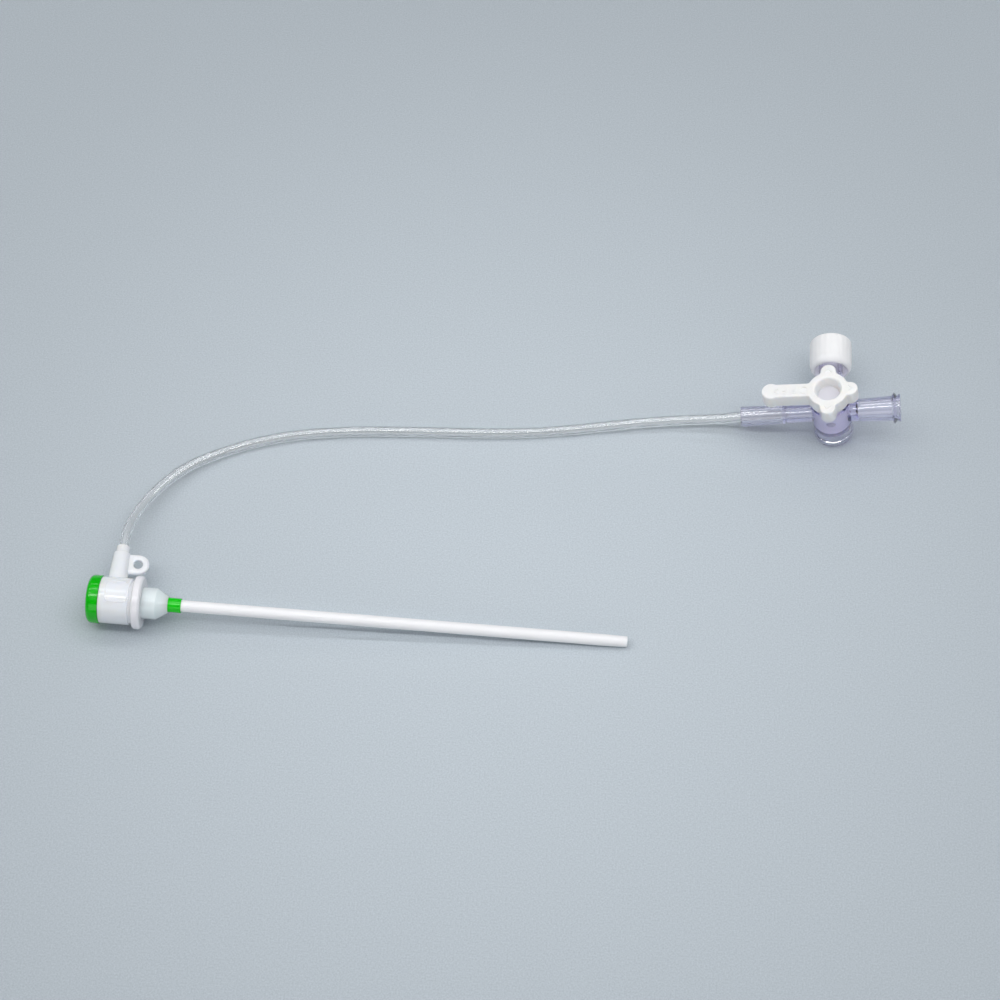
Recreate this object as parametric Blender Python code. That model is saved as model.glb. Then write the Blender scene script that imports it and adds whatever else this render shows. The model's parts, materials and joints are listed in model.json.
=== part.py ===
"""Vascular introducer sheath with a side tube and a three-way stopcock, lying on a table.

Metres, +Z up. The cannula runs along +X. The origin is under the middle of the whole object, on
the table.
"""

import math

import bmesh
import bpy
from mathutils import Vector

for old_object in list(bpy.data.objects):
    bpy.data.objects.remove(old_object, do_unlink=True)

# Clearances between pieces
FIT_GAP = 0.0003
SLEEVE_GAP = 0.0001
SEAM_MERGE = 0.000001

# Where the two assemblies lie on the table
SHEATH_X = -0.09746
SHEATH_Y = -0.03893
STOPCOCK_X = 0.07986
STOPCOCK_Y = 0.02449
STOPCOCK_PITCH = math.radians(12.8)
STOPCOCK_YAW = math.radians(-0.4)
HANDLE_TURN = math.radians(-1.4)

# Valve cap, measured along the sheath's axis from its rear face
CAP_LENGTH = 0.0027
CAP_WALL = 0.0006
CAP_ROUND = 0.0012
CAP_END_WALL = 0.0013
ENTRY_RADIUS = 0.0022
ENTRY_FUNNEL_WIDTH = 0.0008
ENTRY_FUNNEL_DEPTH = 0.0007

# Valve disc
VALVE_RADIUS = 0.0040
VALVE_THICKNESS = 0.0027
VALVE_SLIT_LENGTH = 0.0030
VALVE_SLIT_WIDTH = 0.0003

# Housing
HUB_LENGTH = 0.0073
HUB_WALL = 0.0019
HUB_FRONT_ROUND = 0.0004
SPIGOT_WALL = 0.0006
VALVE_LEDGE = 0.0003
CHAMBER_LENGTH = 0.0034
FUNNEL_LENGTH = 0.0013
NECK_WALL = 0.000585
NECK_LENGTH = 0.0057
NECK_SEAT_DEPTH = 0.0051

# Side arm and its stepped port
ARM_STATION = 0.0059
ARM_BORE_RADIUS = 0.0008
ARM_TIP_WALL = 0.0008
ARM_TIP_LENGTH = 0.0018
ARM_TIP_ROUND = 0.0002
ARM_STEP = 0.00048
ARM_TAPER = 0.00027
ARM_LENGTH = 0.0072
ARM_END_ROUND = 0.0004

# Suture eyelet, beside the arm
EYELET_OFFSET = 0.0043
EYELET_STANDOFF = 0.0043
EYELET_HOLE_RADIUS = 0.00113
EYELET_RING_WIDTH = 0.00152
EYELET_THICKNESS = 0.0013
EYELET_ROUND = 0.0003

# Front collar
COLLAR_GROOVE = 0.00045
COLLAR_WIDTH = 0.00255
COLLAR_THICKNESS = 0.00235
COLLAR_ROUND = 0.0008

# Strain relief nose
NOSE_WALL = 0.00115
NOSE_STRAIGHT = 0.0030
NOSE_CONE = 0.0027
NOSE_END_WALL = 0.0002
NOSE_SOCKET_DEPTH = 0.0026

# Cannula and its size band
CANNULA_RADIUS = 0.001415
CANNULA_WALL = 0.000315
CANNULA_LENGTH = 0.110
TIP_TAPER_LENGTH = 0.006
TIP_WALL = 0.0002
TIP_ROUND = 0.00012
BAND_LENGTH = 0.0031
BAND_THICKNESS = 0.000235
BAND_COVERED = 0.0022

# Side tube, a plain rod in the solids
TUBE_RADIUS = 0.00135
TUBE_POINT_SPACING = 0.0068

# Stopcock plug and barrel, measured from the crossing of the arms' axes
PLUG_TOP_RADIUS = 0.0031
PLUG_END_RADIUS = 0.0029
PASSAGE_RADIUS = 0.00095
BARREL_TOP = 0.0047
BARREL_WALL = 0.0015
BASE_DEPTH = 0.0087
BASE_STEP = 0.0001
BASE_CHAMFER = 0.00015
SKIRT_WALL = 0.0008
WEB_DEPTH = 0.0041
WEB_THICKNESS = 0.0008
GROOVE_HEIGHT = 0.0012
GROOVE_WIDTH = 0.0006
GROOVE_DEPTH = 0.0003

# Stopcock arms
SOCKET_WALL = 0.00095
SOCKET_ARM_END = 0.0225
SOCKET_ARM_LENGTH = 0.0111
SOCKET_ARM_DRAFT = 0.0002
SOCKET_DEPTH = 0.0104
SOCKET_ROUND = 0.0002
TUBE_ARM_STEP = 0.0002
LUER_MOUTH_RADIUS = 0.00215
LUER_BORE_DEPTH = 0.0105
LUER_BORE_TAPER = 0.03
LUER_WALL = 0.00103
LUER_DRAFT = 0.00048
LUER_LUG_HEIGHT = 0.00072
LUER_LUG_PITCH = 0.00155
LUER_LUG_FLANK = 0.0007
LUER_LUG_CREST = 0.0002
LUER_RIM_HEIGHT = 0.00035
OPEN_PORT_END = 0.0171
CAPPED_PORT_END = 0.0189

# Handle
HANDLE_SKIRT_HEIGHT = 0.00115
HANDLE_SKIRT_INSET = 0.0001
HANDLE_PLATE_THICKNESS = 0.00435
HANDLE_OVERHANG = 0.0001
HANDLE_EDGE_ROUND = 0.00035
RECESS_RADIUS = 0.0033
RECESS_DRAFT = 0.0003
RECESS_FLOOR_RADIUS = 0.0022
RECESS_FLOOR_BLEND = 0.0007
RECESS_DEPTH = 0.0030
LEVER_HALF_WIDTH = 0.00192
LEVER_TIP_CENTRE = 0.01405
LEVER_TIP_RADIUS = 0.00225
LUG_HALF_WIDTH = 0.0019
LUG_TIP_CENTRE = 0.00535
LIMB_BLEND_RADIUS = 0.0009

# Luer cap
LUER_CAP_CLEARANCE = 0.0002
LUER_CAP_WALL = 0.00118
LUER_CAP_LENGTH = 0.0086
LUER_CAP_END_WALL = 0.0014
LUER_CAP_ROUND = 0.0005
LUER_CAP_RIM_ROUND = 0.0011
LUER_CAP_FLATS = 24
MALE_CONE_LENGTH = 0.0060

# Facets round each kind of turned piece
HUB_STEPS = 40
STOPCOCK_STEPS = 36
SMALL_STEPS = 24
BORE_STEPS = 20

# Stations along the sheath's axis that follow from the sizes
VALVE_REAR = CAP_END_WALL + FIT_GAP
VALVE_FRONT = VALVE_REAR + VALVE_THICKNESS
LEDGE_STATION = VALVE_FRONT + FIT_GAP
SHOULDER_STATION = CAP_LENGTH + FIT_GAP
HUB_FRONT = SHOULDER_STATION + HUB_LENGTH
CHAMBER_END = LEDGE_STATION + CHAMBER_LENGTH
NECK_END = HUB_FRONT + NECK_LENGTH
CANNULA_SEAT = NECK_END - NECK_SEAT_DEPTH
COLLAR_REAR = HUB_FRONT + COLLAR_GROOVE
COLLAR_FRONT = COLLAR_REAR + COLLAR_WIDTH
COLLAR_CONTACT = COLLAR_FRONT - COLLAR_ROUND
NOSE_REAR = HUB_FRONT + FIT_GAP
NOSE_SHOULDER = COLLAR_FRONT + NOSE_STRAIGHT
NOSE_END = NOSE_SHOULDER + NOSE_CONE
CANNULA_END = NOSE_END + CANNULA_LENGTH

# Radii of the sheath's pieces, each from the one inside it
LUMEN_RADIUS = CANNULA_RADIUS - CANNULA_WALL
TIP_RADIUS = LUMEN_RADIUS + TIP_WALL
BAND_BORE_RADIUS = CANNULA_RADIUS + SLEEVE_GAP
BAND_RADIUS = BAND_BORE_RADIUS + BAND_THICKNESS
NOSE_SOCKET_RADIUS = BAND_RADIUS + SLEEVE_GAP
NOSE_END_RADIUS = NOSE_SOCKET_RADIUS + NOSE_END_WALL
NECK_BORE_RADIUS = CANNULA_RADIUS + FIT_GAP
NECK_RADIUS = NECK_BORE_RADIUS + NECK_WALL
NOSE_BORE_RADIUS = NECK_RADIUS + FIT_GAP
NOSE_RADIUS = NOSE_BORE_RADIUS + NOSE_WALL
COLLAR_BORE_RADIUS = NOSE_RADIUS + FIT_GAP
COLLAR_RADIUS = COLLAR_BORE_RADIUS + COLLAR_THICKNESS
VALVE_SEAT_RADIUS = VALVE_RADIUS + FIT_GAP
SPIGOT_RADIUS = VALVE_SEAT_RADIUS + SPIGOT_WALL
CHAMBER_RADIUS = VALVE_RADIUS - VALVE_LEDGE
HUB_RADIUS = CHAMBER_RADIUS + HUB_WALL
CAP_BORE_RADIUS = SPIGOT_RADIUS + FIT_GAP
CAP_RADIUS = CAP_BORE_RADIUS + CAP_WALL

# The side arm and the eyelet on it
ARM_TIP_RADIUS = ARM_BORE_RADIUS + ARM_TIP_WALL
ARM_END_RADIUS = ARM_TIP_RADIUS + ARM_STEP
ARM_ROOT_RADIUS = ARM_END_RADIUS + ARM_TAPER
ARM_END = HUB_RADIUS + ARM_LENGTH
ARM_TIP_END = ARM_END + ARM_TIP_LENGTH
EYELET_RADIUS = EYELET_HOLE_RADIUS + EYELET_RING_WIDTH
EYELET_STATION = ARM_STATION + EYELET_OFFSET
EYELET_REACH = HUB_RADIUS + EYELET_STANDOFF

# Radii and heights of the stopcock's pieces
BARREL_RADIUS = PLUG_TOP_RADIUS + FIT_GAP + BARREL_WALL
BASE_RADIUS = BARREL_RADIUS + BASE_STEP
SOCKET_RADIUS = TUBE_RADIUS + FIT_GAP
SOCKET_ARM_RADIUS = SOCKET_RADIUS + SOCKET_WALL
TUBE_ARM_RADIUS = SOCKET_ARM_RADIUS - SOCKET_ARM_DRAFT - TUBE_ARM_STEP
LUER_END_RADIUS = LUER_MOUTH_RADIUS + LUER_WALL
LUER_ROOT_RADIUS = LUER_END_RADIUS - LUER_DRAFT
LUER_LUG_RADIUS = LUER_END_RADIUS + LUER_LUG_HEIGHT
LUER_RIM_RADIUS = LUER_END_RADIUS + LUER_RIM_HEIGHT
LUER_CAP_BORE_RADIUS = LUER_LUG_RADIUS + LUER_CAP_CLEARANCE
LUER_CAP_RADIUS = LUER_CAP_BORE_RADIUS + LUER_CAP_WALL
MALE_CONE_RADIUS = LUER_MOUTH_RADIUS - FIT_GAP
MALE_CONE_TIP_RADIUS = MALE_CONE_RADIUS - LUER_BORE_TAPER * MALE_CONE_LENGTH
SKIRT_LOW = BARREL_TOP + FIT_GAP
PLATE_LOW = SKIRT_LOW + HANDLE_SKIRT_HEIGHT
HANDLE_TOP = PLATE_LOW + HANDLE_PLATE_THICKNESS
HANDLE_SKIRT_RADIUS = BARREL_RADIUS - HANDLE_SKIRT_INSET
HANDLE_DISC_RADIUS = BARREL_RADIUS + HANDLE_OVERHANG

# The sheath rests on the collar and on the cannula's tip
SHEATH_TILT = math.asin((COLLAR_RADIUS - TIP_RADIUS) / (CANNULA_END - COLLAR_CONTACT))
SHEATH_Z = (
    COLLAR_ROUND
    + (COLLAR_RADIUS - COLLAR_ROUND) * math.cos(SHEATH_TILT)
    + COLLAR_CONTACT * math.sin(SHEATH_TILT)
)

# The stopcock stands on the edge of its base, held at this slant by the side tube
STOPCOCK_Z = (
    BASE_DEPTH * math.cos(STOPCOCK_PITCH)
    + (BASE_RADIUS - BASE_CHAMFER) * math.sin(STOPCOCK_PITCH)
)

# The side tube's route from the hub's port to the mouth of the stopcock's socket
TUBE_ROUTE = [
    (-0.0915, -0.0204, 0.0065),
    (-0.0909, -0.0167, 0.0061),
    (-0.0897, -0.0128, 0.0055),
    (-0.0880, -0.0090, 0.0048),
    (-0.0860, -0.0055, 0.0041),
    (-0.0837, -0.0022, 0.0034),
    (-0.0810, 0.0008, 0.0028),
    (-0.0780, 0.0034, 0.0023),
    (-0.0714, 0.0075, 0.0016),
    (-0.0640, 0.0107, 0.0014),
    (-0.0550, 0.0133, 0.0014),
    (-0.0455, 0.0149, 0.0014),
    (-0.0358, 0.0159, 0.0014),
    (-0.0229, 0.0166, 0.0014),
    (-0.0135, 0.0170, 0.0014),
    (-0.0038, 0.0175, 0.0014),
    (0.0059, 0.0184, 0.0014),
    (0.0155, 0.0198, 0.0015),
    (0.0236, 0.0212, 0.0017),
    (0.0326, 0.0227, 0.0020),
    (0.0429, 0.0239, 0.0025),
    (0.0520, 0.0244, 0.0034),
]


def plastic(name, colour, roughness, transmission=0.0):
    """Make a Principled material for one moulded or extruded plastic."""
    material = bpy.data.materials.new(name)
    material.use_nodes = True
    shader = material.node_tree.nodes["Principled BSDF"]
    shader.inputs["Base Color"].default_value = (*colour, 1.0)
    shader.inputs["Roughness"].default_value = roughness
    shader.inputs["Metallic"].default_value = 0.0
    shader.inputs["Transmission Weight"].default_value = transmission
    material.diffuse_color = (*colour, 1.0)
    return material


def frame_empty(name, place, turn):
    """Add an empty that carries one assembly's own axes."""
    empty = bpy.data.objects.new(name, None)
    empty.location = place
    empty.rotation_euler = turn
    bpy.context.collection.objects.link(empty)
    return empty


def turned_mesh(name, outline, axis, steps):
    """Spin an outline of (station, radius) points about one axis into a closed mesh."""
    direction = {"X": Vector((1, 0, 0)), "Y": Vector((0, 1, 0)), "Z": Vector((0, 0, 1))}[axis]
    outward = {"X": Vector((0, 0, 1)), "Y": Vector((1, 0, 0)), "Z": Vector((1, 0, 0))}[axis]
    shape = bmesh.new()
    points = [shape.verts.new(direction * station + outward * radius) for station, radius in outline]
    edges = [shape.edges.new(pair) for pair in zip(points, points[1:])]
    if outline[0][1] > 0.0 or outline[-1][1] > 0.0:
        edges.append(shape.edges.new((points[-1], points[0])))
    bmesh.ops.spin(
        shape,
        geom=points + edges,
        cent=(0, 0, 0),
        axis=direction,
        angle=math.tau,
        steps=steps,
        use_merge=True,
    )
    bmesh.ops.remove_doubles(shape, verts=shape.verts, dist=1e-7)
    bmesh.ops.recalc_face_normals(shape, faces=shape.faces)
    return finished_mesh(name, shape)


def extruded_mesh(name, outline, low, high, top_round, bottom_round):
    """Extrude a flat outline of (x, y) points along Z and round its top and bottom edges."""
    shape = bmesh.new()
    points = [shape.verts.new((x, y, low)) for x, y in outline]
    floor = shape.faces.new(points)
    lifted = bmesh.ops.extrude_face_region(shape, geom=[floor])
    top_points = [item for item in lifted["geom"] if isinstance(item, bmesh.types.BMVert)]
    bmesh.ops.translate(shape, verts=top_points, vec=(0, 0, high - low))
    bmesh.ops.recalc_face_normals(shape, faces=shape.faces)
    for height, size in ((high, top_round), (low, bottom_round)):
        if size > 0.0:
            rim = [
                edge
                for edge in shape.edges
                if all(abs(point.co.z - height) < 1e-7 for point in edge.verts)
            ]
            bmesh.ops.bevel(
                shape,
                geom=rim,
                offset=size,
                offset_type="OFFSET",
                segments=2,
                profile=0.5,
                affect="EDGES",
            )
    return finished_mesh(name, shape)


def finished_mesh(name, shape):
    """Turn a bmesh into mesh data, smooth where it is round."""
    mesh = bpy.data.meshes.new(name)
    shape.to_mesh(mesh)
    shape.free()
    mesh.shade_smooth()
    mesh.set_sharp_from_angle(angle=math.radians(32))
    return mesh


def piece(name, mesh, parent, material):
    """Add a named sub-part to the scene."""
    new_piece = bpy.data.objects.new(name, mesh)
    mesh.materials.append(material)
    bpy.context.collection.objects.link(new_piece)
    new_piece.parent = parent
    return new_piece


def shaping_tool(name, mesh, parent):
    """Add a hidden solid that only shapes another one."""
    tool = bpy.data.objects.new(name, mesh)
    bpy.context.collection.objects.link(tool)
    tool.parent = parent
    tool.hide_render = True
    tool.display_type = "WIRE"
    return tool


def combine(target, tool, operation):
    """Add or remove a hidden solid with an exact Boolean."""
    change = target.modifiers.new(tool.name, "BOOLEAN")
    change.object = tool
    change.operation = operation
    change.solver = "EXACT"


def weld_seams(target):
    """Merge the hair-thin slivers that the combined shapes leave along their seams."""
    seam = target.modifiers.new("seam", "WELD")
    seam.merge_threshold = SEAM_MERGE


def wall_root(inner_radius, outer_radius, branch_radius):
    """Distance from the axis at which a branch's flat root is hidden inside a round wall."""
    return (inner_radius + math.sqrt(outer_radius ** 2 - branch_radius ** 2)) / 2


def arc(centre_along, centre_out, radius, start, end, steps):
    """List points on an arc of a profile, angles in degrees."""
    points = []
    for step in range(steps + 1):
        angle = math.radians(start + (end - start) * step / steps)
        points.append(
            (centre_along + radius * math.cos(angle), centre_out + radius * math.sin(angle))
        )
    return points


def rod_outline(start, end, radius):
    """Outline of a plain round rod between two stations."""
    return [(start, 0.0), (start, radius), (end, radius), (end, 0.0)]


def block_mesh(name, size):
    """Make a plain block centred on its origin."""
    shape = bmesh.new()
    bmesh.ops.create_cube(shape, size=1.0)
    bmesh.ops.scale(shape, vec=size, verts=shape.verts)
    return finished_mesh(name, shape)


def make_valve_cap(axes, material):
    """Snap-on cap: funnelled entry hole, rounded rear edge and a skirt over the spigot."""
    rear_edge = arc(CAP_ROUND, CAP_RADIUS - CAP_ROUND, CAP_ROUND, 180, 90, 5)
    outline = [
        (ENTRY_FUNNEL_DEPTH, ENTRY_RADIUS),
        (0.0, ENTRY_RADIUS + ENTRY_FUNNEL_WIDTH),
        *rear_edge,
        (CAP_LENGTH, CAP_RADIUS),
        (CAP_LENGTH, CAP_BORE_RADIUS),
        (CAP_END_WALL, CAP_BORE_RADIUS),
        (CAP_END_WALL, ENTRY_RADIUS),
    ]
    return piece("valve_cap", turned_mesh("valve_cap", outline, "X", HUB_STEPS), axes, material)


def make_hub_body(axes, material):
    """Housing with valve seat, chamber, neck, side arm and suture eyelet in one moulding."""
    front_edge = arc(
        HUB_FRONT - HUB_FRONT_ROUND, HUB_RADIUS - HUB_FRONT_ROUND, HUB_FRONT_ROUND, 90, 0, 3
    )
    outline = [
        (VALVE_REAR, VALVE_SEAT_RADIUS),
        (VALVE_REAR, SPIGOT_RADIUS),
        (SHOULDER_STATION, SPIGOT_RADIUS),
        (SHOULDER_STATION, HUB_RADIUS),
        *front_edge,
        (HUB_FRONT, NECK_RADIUS),
        (NECK_END, NECK_RADIUS),
        (NECK_END, NECK_BORE_RADIUS),
        (CANNULA_SEAT, NECK_BORE_RADIUS),
        (CANNULA_SEAT, LUMEN_RADIUS),
        (CHAMBER_END + FUNNEL_LENGTH, LUMEN_RADIUS),
        (CHAMBER_END, CHAMBER_RADIUS),
        (LEDGE_STATION, CHAMBER_RADIUS),
        (LEDGE_STATION, VALVE_SEAT_RADIUS),
    ]
    hub = piece("hub_body", turned_mesh("hub_body", outline, "X", HUB_STEPS), axes, material)

    root = wall_root(VALVE_SEAT_RADIUS, HUB_RADIUS, ARM_ROOT_RADIUS)
    arm_edge = arc(ARM_END - ARM_END_ROUND, ARM_END_RADIUS - ARM_END_ROUND, ARM_END_ROUND, 88, 0, 3)
    tip_edge = arc(
        ARM_TIP_END - ARM_TIP_ROUND, ARM_TIP_RADIUS - ARM_TIP_ROUND, ARM_TIP_ROUND, 90, 0, 2
    )
    arm_outline = [
        (root, 0.0),
        (root, ARM_ROOT_RADIUS),
        *arm_edge,
        (ARM_END, ARM_TIP_RADIUS),
        *tip_edge,
        (ARM_TIP_END, 0.0),
    ]
    arm = shaping_tool("arm_form", turned_mesh("arm_form", arm_outline, "Y", SMALL_STEPS), axes)
    arm.location.x = ARM_STATION
    combine(hub, arm, "UNION")

    web = EYELET_OFFSET - (ARM_BORE_RADIUS + ARM_END_RADIUS) / 2
    plate_outline = [(-web, EYELET_RADIUS), (-web, -EYELET_RADIUS)]
    plate_outline += arc(0.0, 0.0, EYELET_RADIUS, -90, 90, 14)
    half_thickness = EYELET_THICKNESS / 2
    plate_mesh = extruded_mesh(
        "eyelet_form", plate_outline, -half_thickness, half_thickness, EYELET_ROUND, EYELET_ROUND
    )
    plate = shaping_tool("eyelet_form", plate_mesh, axes)
    plate.location = (EYELET_STATION, EYELET_REACH, 0.0)
    combine(hub, plate, "UNION")

    hole_outline = rod_outline(-EYELET_THICKNESS, EYELET_THICKNESS, EYELET_HOLE_RADIUS)
    hole = shaping_tool("eyelet_hole", turned_mesh("eyelet_hole", hole_outline, "Z", BORE_STEPS), axes)
    hole.location = plate.location
    combine(hub, hole, "DIFFERENCE")

    side_bore_outline = rod_outline(CHAMBER_RADIUS / 2, ARM_TIP_END + FIT_GAP, ARM_BORE_RADIUS)
    side_bore = shaping_tool("arm_bore", turned_mesh("arm_bore", side_bore_outline, "Y", BORE_STEPS), axes)
    side_bore.location.x = ARM_STATION
    combine(hub, side_bore, "DIFFERENCE")
    weld_seams(hub)
    return hub


def make_valve(axes, material):
    """Silicone disc with crossed slits, seated between the cap and the chamber's ledge."""
    outline = rod_outline(VALVE_REAR, VALVE_FRONT, VALVE_RADIUS)
    valve = piece(
        "hemostasis_valve",
        turned_mesh("hemostasis_valve", outline, "X", SMALL_STEPS),
        axes,
        material,
    )
    depth = 2 * VALVE_THICKNESS
    slits = {
        "slit_upright": (depth, VALVE_SLIT_WIDTH, VALVE_SLIT_LENGTH),
        "slit_level": (depth, VALVE_SLIT_LENGTH, VALVE_SLIT_WIDTH),
    }
    for name, size in slits.items():
        slit = shaping_tool(name, block_mesh(name, size), axes)
        slit.location.x = (VALVE_REAR + VALVE_FRONT) / 2
        combine(valve, slit, "DIFFERENCE")
    return valve


def make_collar(axes, material):
    """Ring with rounded outer edges, round the root of the nose."""
    shoulder = COLLAR_RADIUS - COLLAR_ROUND
    outline = [
        (COLLAR_REAR, COLLAR_BORE_RADIUS),
        *arc(COLLAR_REAR + COLLAR_ROUND, shoulder, COLLAR_ROUND, 180, 90, 4),
        *arc(COLLAR_CONTACT, shoulder, COLLAR_ROUND, 90, 0, 4),
        (COLLAR_FRONT, COLLAR_BORE_RADIUS),
    ]
    return piece("front_collar", turned_mesh("front_collar", outline, "X", HUB_STEPS), axes, material)


def make_nose(axes, material):
    """Nose over the neck: a cylinder, then a cone down to the size band."""
    outline = [
        (NOSE_REAR, NOSE_BORE_RADIUS),
        (NOSE_REAR, NOSE_RADIUS),
        (NOSE_SHOULDER, NOSE_RADIUS),
        (NOSE_END, NOSE_END_RADIUS),
        (NOSE_END, NOSE_SOCKET_RADIUS),
        (NOSE_END - NOSE_SOCKET_DEPTH, NOSE_SOCKET_RADIUS),
        (NECK_END + FIT_GAP, NOSE_BORE_RADIUS),
    ]
    return piece("strain_relief", turned_mesh("strain_relief", outline, "X", HUB_STEPS), axes, material)


def make_cannula(axes, material):
    """Thin tube from its seat in the neck to a tapered, rounded tip."""
    outline = [
        (CANNULA_SEAT + FIT_GAP, LUMEN_RADIUS),
        (CANNULA_SEAT + FIT_GAP, CANNULA_RADIUS),
        (CANNULA_END - TIP_TAPER_LENGTH, CANNULA_RADIUS),
        *arc(CANNULA_END - TIP_ROUND, TIP_RADIUS - TIP_ROUND, TIP_ROUND, 90, 0, 2),
        (CANNULA_END, LUMEN_RADIUS),
    ]
    return piece("cannula", turned_mesh("cannula", outline, "X", SMALL_STEPS), axes, material)


def make_colour_band(axes, material):
    """Size band round the cannula, its rear end covered by the nose."""
    outline = [
        (NOSE_END - BAND_COVERED, BAND_BORE_RADIUS),
        (NOSE_END - BAND_COVERED, BAND_RADIUS),
        (NOSE_END + BAND_LENGTH, BAND_RADIUS),
        (NOSE_END + BAND_LENGTH, BAND_BORE_RADIUS),
    ]
    return piece("colour_band", turned_mesh("colour_band", outline, "X", SMALL_STEPS), axes, material)


def bore_radius(height):
    """Radius of the plug at a height in the barrel, plus its running clearance."""
    share = (height + WEB_DEPTH) / (BARREL_TOP + WEB_DEPTH)
    return PLUG_END_RADIUS + (PLUG_TOP_RADIUS - PLUG_END_RADIUS) * share + FIT_GAP


def luer_outline(root, end):
    """Outline of a female luer port: a slow taper, a sharp thread crest and a flared mouth."""
    crest = end - LUER_LUG_PITCH
    return [
        (root, 0.0),
        (root, LUER_ROOT_RADIUS),
        (crest - LUER_LUG_FLANK, LUER_END_RADIUS),
        (crest - LUER_LUG_CREST / 2, LUER_LUG_RADIUS),
        (crest + LUER_LUG_CREST / 2, LUER_LUG_RADIUS),
        (crest + LUER_LUG_FLANK, LUER_END_RADIUS),
        (end - LUER_LUG_CREST, LUER_RIM_RADIUS),
        (end, LUER_RIM_RADIUS),
        (end, 0.0),
    ]


def luer_bore_outline(end):
    """Outline of a luer port's tapered bore and the lumen behind it."""
    bottom = end - LUER_BORE_DEPTH
    bottom_radius = LUER_MOUTH_RADIUS - LUER_BORE_TAPER * LUER_BORE_DEPTH
    return [
        (PLUG_END_RADIUS / 2, 0.0),
        (PLUG_END_RADIUS / 2, PASSAGE_RADIUS),
        (bottom, PASSAGE_RADIUS),
        (bottom, bottom_radius),
        (end, LUER_MOUTH_RADIUS),
        (end + FIT_GAP, LUER_MOUTH_RADIUS),
        (end + FIT_GAP, 0.0),
    ]


def make_stopcock_body(axes, material):
    """Barrel on a hollow skirt, with a tube socket and two luer ports."""
    groove_low = -BASE_DEPTH + GROOVE_HEIGHT
    groove_high = groove_low + GROOVE_WIDTH
    groove_radius = BASE_RADIUS - GROOVE_DEPTH
    skirt_inner = BASE_RADIUS - SKIRT_WALL
    web_low = -WEB_DEPTH - WEB_THICKNESS
    barrel_outline = [
        (web_low, 0.0),
        (web_low, skirt_inner),
        (-BASE_DEPTH, skirt_inner),
        (-BASE_DEPTH, BASE_RADIUS - BASE_CHAMFER),
        (-BASE_DEPTH + BASE_CHAMFER, BASE_RADIUS),
        (groove_low, BASE_RADIUS),
        (groove_low, groove_radius),
        (groove_high, groove_radius),
        (groove_high, BASE_RADIUS),
        (BARREL_TOP - BASE_CHAMFER, BARREL_RADIUS),
        (BARREL_TOP, BARREL_RADIUS - BASE_CHAMFER),
        (BARREL_TOP, bore_radius(BARREL_TOP)),
        (-WEB_DEPTH, bore_radius(-WEB_DEPTH)),
        (-WEB_DEPTH, 0.0),
    ]
    body = piece(
        "stopcock_body",
        turned_mesh("stopcock_body", barrel_outline, "Z", STOPCOCK_STEPS),
        axes,
        material,
    )

    root = wall_root(bore_radius(LUER_ROOT_RADIUS), BARREL_RADIUS, LUER_ROOT_RADIUS)
    step = SOCKET_ARM_END - SOCKET_ARM_LENGTH
    tube_arm_outline = [
        (-root, 0.0),
        (-root, TUBE_ARM_RADIUS),
        (-step, TUBE_ARM_RADIUS),
        (-step, SOCKET_ARM_RADIUS - SOCKET_ARM_DRAFT),
        *arc(
            -SOCKET_ARM_END + SOCKET_ROUND, SOCKET_ARM_RADIUS - SOCKET_ROUND, SOCKET_ROUND, 90, 180, 2
        ),
        (-SOCKET_ARM_END, 0.0),
    ]
    arms = {
        "tube_arm_form": (tube_arm_outline, "X"),
        "open_port_form": (luer_outline(root, OPEN_PORT_END), "X"),
        "capped_port_form": (luer_outline(root, CAPPED_PORT_END), "Y"),
    }
    for name, (outline, axis) in arms.items():
        form = shaping_tool(name, turned_mesh(name, outline, axis, SMALL_STEPS), axes)
        combine(body, form, "UNION")

    socket_bottom = -SOCKET_ARM_END + SOCKET_DEPTH
    socket_outline = [
        (-PLUG_END_RADIUS / 2, 0.0),
        (-PLUG_END_RADIUS / 2, PASSAGE_RADIUS),
        (socket_bottom, PASSAGE_RADIUS),
        (socket_bottom, SOCKET_RADIUS),
        (-SOCKET_ARM_END - FIT_GAP, SOCKET_RADIUS),
        (-SOCKET_ARM_END - FIT_GAP, 0.0),
    ]
    bores = {
        "socket_bore": (socket_outline, "X"),
        "open_port_bore": (luer_bore_outline(OPEN_PORT_END), "X"),
        "capped_port_bore": (luer_bore_outline(CAPPED_PORT_END), "Y"),
    }
    for name, (outline, axis) in bores.items():
        bore = shaping_tool(name, turned_mesh(name, outline, axis, BORE_STEPS), axes)
        combine(body, bore, "DIFFERENCE")
    weld_seams(body)
    return body


def limb_outline(direction, half_width, tip_centre, tip_radius):
    """Outline of one limb of the handle, blended into the disc at both sides."""
    blend_out = half_width + LIMB_BLEND_RADIUS
    blend_along = math.sqrt((HANDLE_DISC_RADIUS + LIMB_BLEND_RADIUS) ** 2 - blend_out ** 2)
    meet = math.degrees(math.atan2(blend_out, blend_along))
    tip_angle = 180 - math.degrees(math.asin(half_width / tip_radius))
    points = arc(blend_along, -blend_out, LIMB_BLEND_RADIUS, 180 - meet, 90, 3)
    points += arc(tip_centre, 0.0, tip_radius, -tip_angle, tip_angle, 10)
    points += arc(blend_along, blend_out, LIMB_BLEND_RADIUS, -90, meet - 180, 3)
    turn = math.radians(direction)
    return meet, [
        (x * math.cos(turn) - y * math.sin(turn), x * math.sin(turn) + y * math.cos(turn))
        for x, y in points
    ]


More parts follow.
